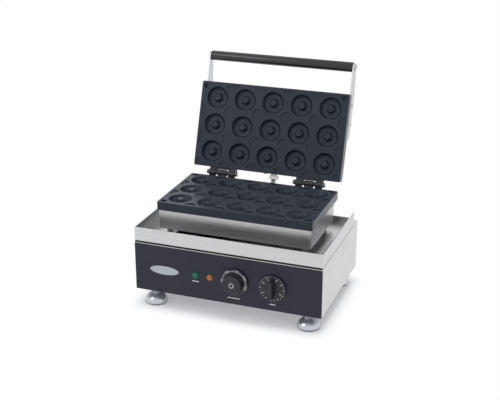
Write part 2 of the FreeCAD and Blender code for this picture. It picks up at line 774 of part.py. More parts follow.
grip_half = cover_half - shaft_play
grip = rod(grip_radius, V(-grip_half, grip_y, grip_z), ALONG_X, 2 * grip_half)
grip = grip.cut(rod(rod_radius + shaft_play, V(-grip_half, grip_y, grip_z), ALONG_X, 2 * grip_half))
save("handle_grip", opened(grip))
rod_half = cover_half + arm_thickness + rod_end
save("handle_rod", opened(rod(rod_radius, V(-rod_half, grip_y, grip_z), ALONG_X, 2 * rod_half)))
cap_nuts = []
for side in (-1, 1):
    seat = V(side * (cover_half + arm_thickness), grip_y, grip_z)
    cap_nuts.append(opened(turned([
        (rod_radius + shaft_play, 0), (cap_nut_radius, 0), (cap_nut_radius, cap_nut_height / 2),
        (cap_nut_radius * 0.6, cap_nut_height), (0, cap_nut_height), (0, rod_end + shaft_play),
        (rod_radius + shaft_play, rod_end + shaft_play)], seat, ALONG_X * side)))
save_group("handle_cap_nuts", cap_nuts)

# Wiring conduit: glands on the housing and the lid, and a ribbed hose between them with slack to open
def gland(seat, out):
    stub = turned([(conduit_bore, -2 * sheet), (gland_stub_radius, -2 * sheet), (gland_stub_radius, 0),
                   (gland_barrel_radius, 0), (gland_barrel_radius, gland_nut_height + gland_barrel - 1),
                   (gland_barrel_radius - 1, gland_nut_height + gland_barrel),
                   (conduit_bore, gland_nut_height + gland_barrel)], seat, out)
    collar = hexagon(gland_across, gland_nut_height, seat, out)
    return fuse([stub, collar.cut(rod(gland_stub_radius, seat, out, gland_nut_height))])


gland_length = gland_nut_height + gland_barrel
save("conduit_gland_housing", gland(base_gland, ALONG_Y))
save("conduit_gland_lid", opened(gland(lid_gland, ALONG_Y)))

lid_swung = swing(lid_gland.y + gland_length - hinge_y, lid_gland.z - hinge_z)
lid_out = V(0, math.cos(lean), -math.sin(lean))
hose_start = base_gland + ALONG_Y * gland_length
hose_end = V(conduit_lid_x, hinge_y + lid_swung[0], hinge_z + lid_swung[1])
hose_corners = [hose_start, hose_start + ALONG_Y * conduit_base_run,
                hose_end + lid_out * conduit_lid_run, hose_end]


def rounded_route(points, radius):
    """Straight runs joined by tangent arcs of one radius."""
    edges, last = [], points[0]
    for before, corner, after in zip(points, points[1:], points[2:]):
        back = (before - corner).normalize()
        on = (after - corner).normalize()
        half_turn = back.getAngle(on) / 2
        setback = radius / math.tan(half_turn)
        leave, join = corner + back * setback, corner + on * setback
        middle = corner + (back + on).normalize() * (radius / math.sin(half_turn) - radius)
        edges += [Part.LineSegment(last, leave).toShape(), Part.Arc(leave, middle, join).toShape()]
        last = join
    return Part.Wire(edges + [Part.LineSegment(last, points[-1]).toShape()])


def stations(wire, distances):
    """Points and directions along a wire at the given distances from its start."""
    found, travelled = [], 0
    edges = list(wire.OrderedEdges)
    for distance in distances:
        while edges and distance > travelled + edges[0].Length and len(edges) > 1:
            travelled += edges.pop(0).Length
        at = edges[0].getParameterByLength(min(distance - travelled, edges[0].Length))
        found.append((edges[0].valueAt(at), edges[0].tangentAt(at)))
    return found


hose_route = rounded_route(hose_corners, conduit_bend)
hose_length = hose_route.Length
plain_end = 2 * conduit_radius
rib_count = int((hose_length - 2 * plain_end) / conduit_rib_pitch)
rib_start = (hose_length - rib_count * conduit_rib_pitch) / 2
rib_profile = ((0.1, conduit_root), (0.3, conduit_radius), (0.7, conduit_radius), (0.9, conduit_root))
steps = [(0, conduit_root)]
for rib in range(rib_count):
    for share, radius in rib_profile:
        steps.append((rib_start + (rib + share) * conduit_rib_pitch, radius))
steps.append((hose_length, conduit_root))
rings, steady = [], ALONG_X
for (point, direction), (_, radius) in zip(stations(hose_route, [s for s, _ in steps]), steps):
    steady = (steady - direction * steady.dot(direction)).normalize()
    ring = Part.Circle(point, direction, radius)
    ring.XAxis = steady
    rings.append(Part.Wire([ring.toShape()]))
hose = Part.makeLoft(rings, True, True)
hose_bore = hose_route.makePipeShell(
    [Part.Wire([Part.Circle(hose_start, ALONG_Y, conduit_bore).toShape()])], True, False)
save("wiring_conduit", hose.cut(hose_bore))
print("conduit length", round(hose_length, 1), "ribs", rib_count, "bend radius", conduit_bend)

# Mains inlet: a bare cable gland at the back
mains_gland = fuse([
    turned([(0, -inlet_stub), (inlet_radius, -inlet_stub), (inlet_radius, inlet_collar),
            (inlet_radius * 0.65, inlet_reach), (0, inlet_reach)], inlet, ALONG_Y),
    hexagon(inlet_across, inlet_collar, inlet, ALONG_Y)])
lead_way = rod(inlet_bore, inlet - ALONG_Y * inlet_stub, ALONG_Y, inlet_stub + inlet_reach)
save("cable_gland", mains_gland.cut(lead_way))


# Dials: a body behind the panel with a bush through it, a shaft and a knob
def control(width, depth, height, place, name):
    block = box(place.x - width / 2, place.x + width / 2, panel_back_y, panel_back_y + depth,
                place.z - height / 2, place.z + height / 2)
    bush = rod(bush_radius, place, ALONG_Y, skin)
    bore = rod(control_shaft_radius + shaft_play, place, ALONG_Y, skin + control_shaft_in + shaft_play)
    save(name + "_body", fuse([block, bush]).cut(bore))
    shaft_start = place - ALONG_Y * (dial_gap + dial_bore_depth - shaft_play)
    shaft_length = dial_gap + dial_bore_depth - shaft_play + skin + control_shaft_in
    save(name + "_shaft", rod(control_shaft_radius, shaft_start, ALONG_Y, shaft_length))


control(thermostat_width, thermostat_depth, thermostat_height, dial_places[0], "thermostat")
control(timer_width, timer_depth, timer_width, dial_places[1], "timer")
control_bore = control_shaft_radius + shaft_play / 2


def knob_seat(place):
    return place - ALONG_Y * dial_gap


seat = knob_seat(dial_places[0])
height = temperature_reach - dial_gap
knob = turned([(0, dial_bore_depth), (control_bore, dial_bore_depth), (control_bore, 0),
               (temperature_skirt_radius, 0), (temperature_skirt_radius, dial_skirt - dial_edge),
               (temperature_skirt_radius - dial_edge, dial_skirt), (temperature_grip_radius, dial_skirt),
               (temperature_grip_radius - dial_edge, height - dial_edge),
               (temperature_grip_radius - 2 * dial_edge, height), (0, height)], seat, ALONG_Y * -1)
save("temperature_knob", knob)

seat = knob_seat(dial_places[1])
height = timer_reach - dial_gap
disc = turned([(0, 0), (timer_skirt_radius, 0), (timer_skirt_radius, dial_skirt - dial_edge),
               (timer_skirt_radius - dial_edge, dial_skirt), (0, dial_skirt)], seat, ALONG_Y * -1)
bar_half = timer_skirt_radius - 3 * dial_edge
bar = box(seat.x - timer_bar_width / 2, seat.x + timer_bar_width / 2, seat.y - height, seat.y - dial_skirt,
          seat.z - bar_half, seat.z + bar_half)
bar_ends = [e for e in bar.Edges if abs(e.tangentAt(e.FirstParameter).y) > 0.99]
bar = bar.makeFillet(timer_bar_width * 0.45, bar_ends)
bar = bar.makeChamfer(dial_edge, [e for e in bar.Edges if e.CenterOfMass.y < seat.y - height + 0.01])
knob = fuse([disc, bar]).cut(rod(control_bore, seat, ALONG_Y * -1, dial_bore_depth))
save("timer_knob", knob)

# Lamps: a clear lens on the fascia with its stem through the panel, and a holder behind
holders = []
for place, name in zip(lamp_places, ("power_lamp", "heating_lamp")):
    lens = turned([(0, -skin), (lamp_stem_radius, -skin), (lamp_stem_radius, 0), (lamp_radius, 0),
                   (lamp_radius, lamp_reach * 0.45), (lamp_radius * 0.6, lamp_reach * 0.9),
                   (0, lamp_reach)], place, ALONG_Y * -1)
    save(name, lens)
    holders.append(rod(lamp_holder_radius, place + ALONG_Y * skin, ALONG_Y, lamp_holder_length))
save_group("lamp_holders", holders)

# Terminal block for the mains, screwed down inside the base
terminal_z = bottom_z + sheet
terminal_end = half_width - terminal_side_inset
terminal_back = body_back_y - terminal_rear_inset
save("terminal_block", box(terminal_end - terminal_length, terminal_end, terminal_back - terminal_depth,
                           terminal_back, terminal_z, terminal_z + terminal_height))

# Feet: a turned bell on a fixed stud, a rubber pad in its foot, and the stud's nut on the bottom plate
foot_top = bottom_z - foot_gap
stud_top = bottom_z + sheet + stud_nut_height + stud_end
foot_names = ("front_left", "front_right", "rear_left", "rear_right")
studs, stud_nuts = [], []
for (x, y), name in zip(foot_places, foot_names):
    floor = V(x, y, 0)
    collar = V(foot_neck_radius, 0, foot_shoulder_height + foot_collar)
    shoulder = V(foot_shoulder_radius, 0, foot_shoulder_height)
    belly = V(foot_radius, 0, foot_belly_height)
    lip = V(pad_radius + foot_lip, 0, pad_show)
    pad_seat = pad_radius + shaft_play
    bulge = V(foot_shoulder_radius + (foot_radius - foot_shoulder_radius) * 0.66, 0,
              foot_belly_height + (foot_shoulder_height - foot_belly_height) * 0.52)
    outline = [
        Part.LineSegment(V(0, 0, pad_thickness), V(0, 0, foot_top)),
        Part.LineSegment(V(0, 0, foot_top), V(foot_neck_radius, 0, foot_top)),
        Part.LineSegment(V(foot_neck_radius, 0, foot_top), collar),
        Part.LineSegment(collar, shoulder),
        Part.Arc(shoulder, bulge, belly),
        Part.Arc(belly, V(foot_radius - 0.3, 0, foot_belly_height / 2), lip),
        Part.LineSegment(lip, V(pad_seat, 0, pad_show)),
        Part.LineSegment(V(pad_seat, 0, pad_show), V(pad_seat, 0, pad_thickness)),
        Part.LineSegment(V(pad_seat, 0, pad_thickness), V(0, 0, pad_thickness)),
    ]
    bell = Part.Face(Part.Wire([c.toShape() for c in outline])).revolve(V(), ALONG_Z, 360)
    bell = bell.cut(rod(stud_radius + shaft_play, V(0, 0, stud_foot), ALONG_Z, foot_height))
    bell.translate(floor)
    save("foot_" + name, bell)
    save("foot_pad_" + name, rod(pad_radius, floor, ALONG_Z, pad_thickness))
    studs.append(rod(stud_radius, V(x, y, stud_foot), ALONG_Z, stud_top - stud_foot))
    nut = V(x, y, bottom_z + sheet)
    stud_nuts.append(hexagon(stud_nut_across, stud_nut_height, nut, ALONG_Z).cut(
        rod(stud_radius + shaft_play, nut, ALONG_Z, stud_nut_height)))
save_group("foot_studs", studs)
save_group("foot_stud_nuts", stud_nuts)
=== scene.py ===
"""A bench-top donut maker: its finishes and fine shapes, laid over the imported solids."""
import math

import bmesh
import bpy
from mathutils import Matrix, Vector


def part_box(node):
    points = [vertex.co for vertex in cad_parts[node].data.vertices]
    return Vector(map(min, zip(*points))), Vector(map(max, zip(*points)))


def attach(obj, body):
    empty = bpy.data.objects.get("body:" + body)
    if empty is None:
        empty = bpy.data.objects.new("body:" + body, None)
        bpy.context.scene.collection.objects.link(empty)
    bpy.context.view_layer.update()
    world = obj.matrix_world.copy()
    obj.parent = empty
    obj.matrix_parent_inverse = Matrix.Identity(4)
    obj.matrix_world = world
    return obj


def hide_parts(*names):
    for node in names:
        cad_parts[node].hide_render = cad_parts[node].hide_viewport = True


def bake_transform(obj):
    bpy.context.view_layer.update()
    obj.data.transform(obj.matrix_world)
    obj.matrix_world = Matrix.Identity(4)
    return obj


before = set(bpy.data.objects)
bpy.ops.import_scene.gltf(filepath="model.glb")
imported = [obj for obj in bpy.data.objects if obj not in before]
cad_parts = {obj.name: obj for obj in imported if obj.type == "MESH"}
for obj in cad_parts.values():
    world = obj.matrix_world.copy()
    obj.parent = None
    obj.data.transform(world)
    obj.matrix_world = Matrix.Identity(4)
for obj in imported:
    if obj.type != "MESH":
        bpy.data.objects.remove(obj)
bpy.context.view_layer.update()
scene = bpy.context.scene
scene.view_settings.view_transform = "Standard"

# Camera: stands to the right of the front and looks down on the open plates.
# A long lens, so that the base keeps its sides nearly parallel.
look_down = 21.41
stand_aside = 20.13


def placed(name, data):
    """A new object in the scene, at the origin."""
    made = bpy.data.objects.new(name, data)
    scene.collection.objects.link(made)
    return made


lens_data = bpy.data.cameras.new("camera")
lens_data.lens = 74.2
lens_data.sensor_width = 36
camera = placed("camera", lens_data)
camera.location = (0.7023, -1.9396, 1.0132)
camera.rotation_euler = (math.radians(90 - look_down), 0, math.radians(stand_aside))
scene.camera = camera

# Base shell: the sides, back and top of the base, folded from brushed stainless sheet.
# The grain runs along each face, and the folds have a small soft radius.
MM = 0.001
sheet_edge = 0.35 * MM
same_point = 2e-6
fold_angle = 32


def wire(tree, kind, feeds=None, **options):
    """Adds a node, sets its options, then sets its inputs or joins them to other nodes.

    A node given as an input means its first output.
    """
    made = tree.nodes.new(kind)
    for option, value in options.items():
        setattr(made, option, value)
    for socket, value in (feeds or {}).items():
        if isinstance(value, bpy.types.Node):
            value = value.outputs[0]
        if isinstance(value, bpy.types.NodeSocket):
            tree.links.new(value, made.inputs[socket])
        else:
            made.inputs[socket].default_value = value
    return made


def maths(tree, operation, *values, kind="Math"):
    """What comes of one operation on sockets and numbers."""
    return wire(tree, "ShaderNode" + kind, dict(enumerate(values)), operation=operation).outputs[0]


def ramp(tree, value, start, end, **options):
    """Nothing where a value is at its start, and one where it is at its end."""
    return wire(tree, "ShaderNodeMapRange", {0: value, 1: start, 2: end}, **options).outputs[0]


def noise(tree, scale, detail, stretch=None):
    """A cloudy value all over a piece, drawn out along its axes where a stretch is given."""
    place = wire(tree, "ShaderNodeTexCoord").outputs["Object"]
    if stretch:
        place = wire(tree, "ShaderNodeMapping", {"Vector": place, "Scale": stretch}).outputs[0]
    return wire(tree, "ShaderNodeTexNoise", {"Vector": place, "Scale": scale, "Detail": detail}).outputs[0]


def effect(name, inputs, output):
    """An empty shader group with named values going in and one value coming out."""
    tree = bpy.data.node_groups.new(name, "ShaderNodeTree")
    for socket in inputs:
        tree.interface.new_socket(socket, in_out="INPUT", socket_type="NodeSocketFloat")
    tree.interface.new_socket(output, in_out="OUTPUT", socket_type="NodeSocketFloat")
    entry = tree.nodes.new("NodeGroupInput")
    leave = tree.nodes.new("NodeGroupOutput")
    return tree, entry.outputs, leave.inputs[0]


brushed_grain, given, result = effect("brushed grain", ("Fineness", "Run"), "Lines")
place = wire(brushed_grain, "ShaderNodeTexCoord").outputs
facing = wire(brushed_grain, "ShaderNodeSeparateXYZ", {0: place["Normal"]})
sideways = maths(brushed_grain, "ABSOLUTE", facing.outputs["X"])
on_side = maths(brushed_grain, "GREATER_THAN", sideways, 0.6)
along_x = wire(brushed_grain, "ShaderNodeCombineXYZ",
               {0: given["Run"], 1: given["Fineness"], 2: given["Fineness"]})
along_y = wire(brushed_grain, "ShaderNodeCombineXYZ",
               {0: given["Fineness"], 1: given["Run"], 2: given["Fineness"]})
stretch = wire(brushed_grain, "ShaderNodeMix", {0: on_side, 4: along_x, 5: along_y}, data_type="VECTOR")
drawn = maths(brushed_grain, "MULTIPLY", place["Object"], stretch.outputs[1], kind="VectorMath")
streaks = wire(brushed_grain, "ShaderNodeTexNoise",
               {"Vector": drawn, "Scale": 1.0, "Detail": 3.0, "Roughness": 0.6})
brushed_grain.links.new(streaks.outputs[0], result)

handling, given, result = effect("handling marks", ("Scale", "Low", "High"), "Value")
place = wire(handling, "ShaderNodeTexCoord").outputs
patches = wire(handling, "ShaderNodeTexNoise",
               {"Vector": place["Object"], "Scale": given["Scale"], "Detail": 5.0, "Roughness": 0.62})
spread = wire(handling, "ShaderNodeMapRange",
              {0: patches, 1: 0.32, 2: 0.68, 3: given["Low"], 4: given["High"]})
handling.links.new(spread.outputs[0], result)


def finish(name, **sockets):
    """A new material and its shader, with the values that are the same all over the piece."""
    made = bpy.data.materials.new(name)
    made.use_nodes = True
    shader = made.node_tree.nodes["Principled BSDF"]
    for socket, value in sockets.items():
        shader.inputs[socket.replace("_", " ")].default_value = value
    return made, made.node_tree, shader.inputs


def between(tree, mask, low, high):
    """A colour that goes from low to high with a mask; low may come from another node."""
    start = low if isinstance(low, bpy.types.NodeSocket) else (*low, 1)
    return wire(tree, "ShaderNodeMix", {0: mask, 6: start, 7: (*high, 1)}, data_type="RGBA").outputs[2]


def marks(tree, scale, low, high):
    """A value that wanders between two levels, as handled or worn surfaces do."""
    return wire(tree, "ShaderNodeGroup", {"Scale": scale, "Low": low, "High": high},
                node_tree=handling).outputs[0]


def relief(tree, height, depth, strength=1.0):
    """A normal bent by a height map whose full depth is given in metres."""
    bump = wire(tree, "ShaderNodeBump", {"Height": height, "Distance": depth, "Strength": strength})
    return bump.outputs[0]


def surfaced(tree, shader, mask, low, high, *shine):
    """Leads the colour from low to high with a mask, and lets the shine wander."""
    tree.links.new(between(tree, mask, low, high), shader["Base Color"])
    tree.links.new(marks(tree, *shine), shader["Roughness"])


def brushed(name, low, high, roughness, wander=0.06):
    """Sheet steel after the grinding belt: fine lines over broader, fainter streaks."""
    made, tree, shader = finish(name, Metallic=1.0)
    fine = wire(tree, "ShaderNodeGroup", {"Fineness": 1500.0, "Run": 12.0}, node_tree=brushed_grain)
    broad = wire(tree, "ShaderNodeGroup", {"Fineness": 260.0, "Run": 5.0}, node_tree=brushed_grain)
    lines = ramp(tree, maths(tree, "ADD", fine, broad), 0.6, 1.4)
    tree.links.new(between(tree, lines, low, high), shader["Base Color"])
    worn = marks(tree, 14.0, roughness - wander, roughness + wander)
    tree.links.new(maths(tree, "MULTIPLY_ADD", lines, 0.1, worn), shader["Roughness"])
    tree.links.new(relief(tree, lines, 0.02 * MM, 0.35), shader["Normal"])
    return made


steel = brushed("brushed stainless", (0.575, 0.58, 0.588), (0.65, 0.655, 0.665), 0.27)


def show(name, mesh, coat, body, slot, *nodes):
    """Puts a mesh in the scene as a piece that rides on a body and stands for its solids."""
    mesh.name = name
    mesh.materials.clear()
    mesh.materials.append(coat)
    shown = placed(name, mesh)
    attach(shown, body)
    if nodes:
        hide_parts(*nodes)
    return shown


def kept_flat(shown):
    """Lets broad flat faces keep their own direction beside rounded edges."""
    even = shown.modifiers.new("flat faces stay flat", "WEIGHTED_NORMAL")
    even.mode = "FACE_AREA"
    even.keep_sharp = True


def as_mesh(shape, name):
    """Ends the shaping of a piece and gives its plain mesh."""
    mesh = bpy.data.meshes.new(name)
    shape.to_mesh(mesh)
    shape.free()
    return mesh


def softened(name, node, edge, coat, body, slot):
    """The solid's own shape with its sharp edges rounded over, as a made piece has them."""
    shape = bmesh.new()
    shape.from_mesh(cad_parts[node].data)
    bmesh.ops.remove_doubles(shape, verts=shape.verts[:], dist=same_point)
    for face in shape.faces:
        face.smooth = True
    shown = show(name, as_mesh(shape, name), coat, body, slot, node)
    rounded = shown.modifiers.new("rounded edges", "BEVEL")
    rounded.width = edge
    rounded.segments = 2
    rounded.limit_method = "ANGLE"
    rounded.angle_limit = math.radians(fold_angle)
    rounded.use_clamp_overlap = False
    rounded.loop_slide = False
    kept_flat(shown)
    return shown


softened("shell_sheet", "base_shell", sheet_edge, steel, "base", "stainless")

# Bottom plate: a vented galvanised sheet that closes the base from below.
# Four low socket screws hold it to the flanges, and the foot studs stand through it.
zinc, tree, shader = finish("zinc plate", Metallic=1.0)
spangle = wire(tree, "ShaderNodeTexVoronoi",
               {"Vector": wire(tree, "ShaderNodeTexCoord").outputs["Object"], "Scale": 160.0})
surfaced(tree, shader, spangle.outputs["Distance"], (0.5, 0.51, 0.52), (0.66, 0.67, 0.68), 60.0, 0.28, 0.46)
softened("bottom_sheet", "bottom_plate", sheet_edge, zinc, "base", "bright_steel")


def dress(coat, *nodes):
    """Gives solids that keep their own shape a finish."""
    for node in nodes:
        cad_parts[node].data.materials.clear()
        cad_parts[node].data.materials.append(coat)


dress(zinc, "foot_studs", "foot_stud_nuts", "housing_nuts", "housing_bolts", "lower_plate_screws",
      "upper_plate_screws")


def growth(name, sockets):
    """An empty Geometry Nodes tree with named inputs; the finish is always the last of them."""
    tree = bpy.data.node_groups.new(name, "GeometryNodeTree")
    tree.interface.new_socket("Geometry", in_out="INPUT", socket_type="NodeSocketGeometry")
    for socket, kind in sockets:
        tree.interface.new_socket(socket, in_out="INPUT", socket_type="NodeSocket" + kind)
    tree.interface.new_socket("Finish", in_out="INPUT", socket_type="NodeSocketMaterial")
    tree.interface.new_socket("Geometry", in_out="OUTPUT", socket_type="NodeSocketGeometry")
    return tree, tree.nodes.new("NodeGroupInput").outputs


def harvest(tree, source, made):
    """Ends a tree: plain geometry with its finish set."""
    plain = wire(tree, "GeometryNodeRealizeInstances", {0: source})
    coated = wire(tree, "GeometryNodeSetMaterial", {"Geometry": plain, "Material": made["Finish"]})
    leave = tree.nodes.new("NodeGroupOutput")
    tree.links.new(coated.outputs[0], leave.inputs[0])


def settled(host):
    """The plain mesh that an object comes to; the object itself goes."""
    bpy.context.view_layer.update()
    mesh = bpy.data.meshes.new_from_object(host.evaluated_get(bpy.context.evaluated_depsgraph_get()))
    bpy.data.objects.remove(host)
    return mesh


def grown(tree, start, coat, **sizes):
    """Runs a tree on a start mesh and gives back the plain mesh that it makes."""
    host = placed("host", start)
    maker = host.modifiers.new("maker", "NODES")
    maker.node_group = tree
    for socket in tree.interface.items_tree:
        if socket.in_out == "INPUT" and socket.name != "Geometry":
            value = coat if socket.name == "Finish" else sizes[socket.name.replace(" ", "_")]
            maker[socket.identifier] = value
    return settled(host)


def crisp(mesh, angle=fold_angle):
    """Smooth shading that keeps every edge sharper than the angle."""
    mesh.shade_smooth()
    mesh.set_sharp_from_angle(angle=math.radians(angle))
    return mesh


screws, made = growth("socket screws", (("Head", "Float"), ("Crown", "Float"), ("Height", "Float"),
                                        ("Socket", "Float"), ("Shank", "Float"), ("Length", "Float")))
dome = wire(screws, "GeometryNodeMeshCone", {"Vertices": 32, "Radius Bottom": made["Head"],
                                             "Radius Top": made["Crown"], "Depth": made["Height"]})
drive = wire(screws, "GeometryNodeMeshCylinder", {"Vertices": 6, "Radius": made["Socket"],
                                                  "Depth": made["Height"]})
drive_rise = wire(screws, "ShaderNodeCombineXYZ", {2: made["Height"]})
drive_place = wire(screws, "GeometryNodeTransform", {"Geometry": drive, "Translation": drive_rise})
driven = wire(screws, "GeometryNodeMeshBoolean", {0: dome, 1: drive_place})
thread = wire(screws, "GeometryNodeMeshCylinder", {"Vertices": 16, "Radius": made["Shank"],
                                                   "Depth": made["Length"]})
thread_drop = wire(screws, "ShaderNodeCombineXYZ", {2: maths(screws, "MULTIPLY", made["Length"], -0.5)})
thread_place = wire(screws, "GeometryNodeTransform", {"Geometry": thread, "Translation": thread_drop})
screw = wire(screws, "GeometryNodeJoinGeometry", {0: thread_place})
screws.links.new(driven.outputs[0], screw.inputs[0])
outward = wire(screws, "GeometryNodeInputNamedAttribute", {"Name": "out"}, data_type="FLOAT_VECTOR")
turn = wire(screws, "FunctionNodeAlignRotationToVector", {"Vector": outward}, axis="Z")
planted = wire(screws, "GeometryNodeInstanceOnPoints",
               {"Points": made["Geometry"], "Instance": screw, "Rotation": turn})
harvest(screws, planted, made)


def seats(places):
    """A mesh of bare points, each with the direction that a screw head there faces."""
    mesh = bpy.data.meshes.new("seats")
    mesh.from_pydata([point for point, out in places], [], [])
    facing_out = mesh.attributes.new("out", "FLOAT_VECTOR", "POINT")
    for index, (point, out) in enumerate(places):
        facing_out.data[index].vector = out
    return mesh


head_radius = 3.6 * MM
head_height = 2.2 * MM
low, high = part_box("bottom_screws")
screw_seats = [(Vector((x, y, low.z + head_height)), Vector((0, 0, -1)))
               for x in (low.x + head_radius, high.x - head_radius)
               for y in (low.y + head_radius, high.y - head_radius)]
heads = grown(screws, seats(screw_seats), zinc, Head=head_radius, Crown=2.4 * MM, Height=head_height,
              Socket=1.3 * MM, Shank=1.9 * MM, Length=4 * MM)
show("bottom_screw_set", crisp(heads), zinc, "base", "fastener", "bottom_screws")

# Front panel: a steel pan behind the fascia whose folded lip shows as a bright line above it.
# The fascia is a thin sheet with a fine black powder coat, pierced for the lamps and the dials.
softened("panel_sheet", "front_panel", 0.25 * MM, steel, "base", "stainless")


def mottled(name, tone_scale, low, high, shine_scale, smooth, rough, **sockets):
    """A finish whose tone and shine both wander a little, each at its own scale."""
    made, tree, shader = finish(name, **sockets)
    surfaced(tree, shader, marks(tree, tone_scale, 0.0, 1.0), low, high, shine_scale, smooth, rough)
    return made


def pebbled(coat, scale, detail, depth):
    """Raises a fine grain all over a finish."""
    tree = coat.node_tree
    normal = tree.nodes["Principled BSDF"].inputs["Normal"]
    tree.links.new(relief(tree, noise(tree, scale, detail), depth, 0.5), normal)


powder_black = mottled("black powder coat", 11.0, (0.006, 0.0068, 0.0195), (0.0105, 0.0113, 0.0265),
                       23.0, 0.4, 0.52, Specular_IOR_Level=0.42)
pebbled(powder_black, 2600.0, 2.0, 0.04 * MM)
softened("fascia_sheet", "control_fascia", 0.2 * MM, powder_black, "base", "fascia_black")

# Fascia trim: a blank oval plate of satin metal, glued to the sheet near its left end.
# Three short white bars are screen-printed under the green lamp and the two dials.
fascia_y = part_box("control_fascia")[0].y
print_depth = 0.04 * MM


def turned(profile, centre, axis, steps=64, closed=False):
    """A mesh spun from (radius, height) points round an axis; a closed profile makes a ring."""
    shape = bmesh.new()
    rows = []
    for radius, height in profile:
        if radius < same_point:
            rows.append([shape.verts.new((0, 0, height))])
            continue
        rows.append([shape.verts.new((radius * math.cos(2 * math.pi * step / steps),
                                      radius * math.sin(2 * math.pi * step / steps), height))
                     for step in range(steps)])
    pairs = list(zip(rows, rows[1:])) + ([(rows[-1], rows[0])] if closed else [])
    for lower_row, upper_row in pairs:
        for step in range(steps):
            follow = (step + 1) % steps
            corners = [lower_row[step % len(lower_row)], lower_row[follow % len(lower_row)],
                       upper_row[follow % len(upper_row)], upper_row[step % len(upper_row)]]
            shape.faces.new(list(dict.fromkeys(corners)))
    bmesh.ops.recalc_face_normals(shape, faces=shape.faces[:])
    mesh = as_mesh(shape, "turned")
    upright = Vector((0, 0, 1)).rotation_difference(Vector(axis)).to_matrix().to_4x4()
    mesh.transform(Matrix.Translation(centre) @ upright)
    return crisp(mesh)


def joined(meshes):
    """One mesh out of several."""
    shape = bmesh.new()
    for mesh in meshes:
        shape.from_mesh(mesh)
        bpy.data.meshes.remove(mesh)
    return as_mesh(shape, "joined")


def in_metres(profile):
    """A profile that was written in millimetres."""
    return [(radius * MM, height * MM) for radius, height in profile]


white_print = mottled("white screen print", 900.0, (0.74, 0.74, 0.74), (0.88, 0.88, 0.88), 300.0, 0.45, 0.6)


def bar_print(width, height, x, z):
    """A printed bar with round ends, lying just proud of the fascia."""
    shape = bmesh.new()
    steps = 24
    rim = []
    for step in range(steps):
        angle = 2 * math.pi * step / steps
        reach = (width - height) / 2 * (1 if math.cos(angle) > 0 else -1)
        rim.append(shape.verts.new((x + reach + height / 2 * math.cos(angle), fascia_y - print_depth,
                                    z + height / 2 * math.sin(angle))))
    face = shape.faces.new(rim)
    grown_face = bmesh.ops.extrude_face_region(shape, geom=[face])
    moved = [item for item in grown_face["geom"] if isinstance(item, bmesh.types.BMVert)]
    bmesh.ops.translate(shape, verts=moved, vec=(0, print_depth, 0))
    bmesh.ops.recalc_face_normals(shape, faces=shape.faces[:])
    return as_mesh(shape, "bar")


lamp_bar = bar_print(15 * MM, 1.7 * MM, x=-67.8 * MM, z=75.5 * MM)
temperature_bar = bar_print(28 * MM, 1.5 * MM, x=17 * MM, z=51 * MM)
timer_bar_print = bar_print(13 * MM, 1.7 * MM, x=101 * MM, z=51 * MM)
printed_bars = joined([lamp_bar, temperature_bar, timer_bar_print])
show("fascia_bars", printed_bars, white_print, "base", "fascia_black")

satin_plate, tree, shader = finish("satin badge plate", Metallic=1.0)
long_grain = noise(tree, 1.0, 2.0, stretch=(30, 1, 1600))
surfaced(tree, shader, long_grain, (0.34, 0.36, 0.4), (0.5, 0.52, 0.56), 50.0, 0.3, 0.42)
oval_profile = in_metres([(0, 0), (9.7, 0), (9.7, 0.7), (9.45, 1.0), (9.0, 1.0), (8.8, 0.75), (0, 0.75)])
oval_middle = (-138 * MM, fascia_y, 89 * MM)
oval_stretch = 3.35
oval = turned(oval_profile, (0, 0, 0), (0, -1, 0), 72)
oval.transform(Matrix.Translation(oval_middle) @ Matrix.Diagonal((oval_stretch, 1, 1, 1)))
show("blank_badge", oval, satin_plate, "base", "bright_steel")

# Lamps: faceted plastic lenses, green for power and amber for heating, pushed into the fascia.
# Each has a plain collar, and its stem runs back to a holder behind the panel.


def lens_plastic(name, deep, pale):
    """Tinted plastic with a thin gloss, cloudy between a deep and a pale tone."""
    return mottled(name, 210.0, deep, pale, 400.0, 0.14, 0.24,
                   Specular_IOR_Level=0.35, Coat_Weight=0.15, Coat_Roughness=0.08)


lens_profile = in_metres([(4.6, 3.4), (4.6, 0), (6.75, 0), (6.75, 1.3), (6.3, 1.7), (5.6, 1.8), (5.2, 3.9),
                          (3.4, 5.2), (0, 5.5)])
stem_radius = 4.8 * MM
for lamp, lens_name, lens_slot, deep, pale in (
        ("power_lamp", "green_lens_cap", "green_lens", (0.0, 0.09, 0.055), (0.0, 0.22, 0.13)),
        ("heating_lamp", "amber_lens_cap", "amber_lens", (0.3, 0.09, 0.014), (0.5, 0.17, 0.035))):
    low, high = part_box(lamp)
    middle = Vector(((low.x + high.x) / 2, fascia_y, (low.z + high.z) / 2))
    lens = turned(lens_profile, middle, (0, -1, 0), 14)
    stem_length = high.y - fascia_y
    stem = turned([(0, 0), (stem_radius, 0), (stem_radius, stem_length), (0, stem_length)],
                  middle, (0, 1, 0), 32)
    show(lens_name, crisp(joined([lens, stem]), 12), lens_plastic(lens_name, deep, pale), "base",
         lens_slot, lamp)
inner_plastic = mottled("inner moulding", 120.0, (0.03, 0.028, 0.026), (0.06, 0.056, 0.05), 300.0, 0.42, 0.6)
dress(inner_plastic, "lamp_holders", "thermostat_body", "timer_body", "terminal_block")

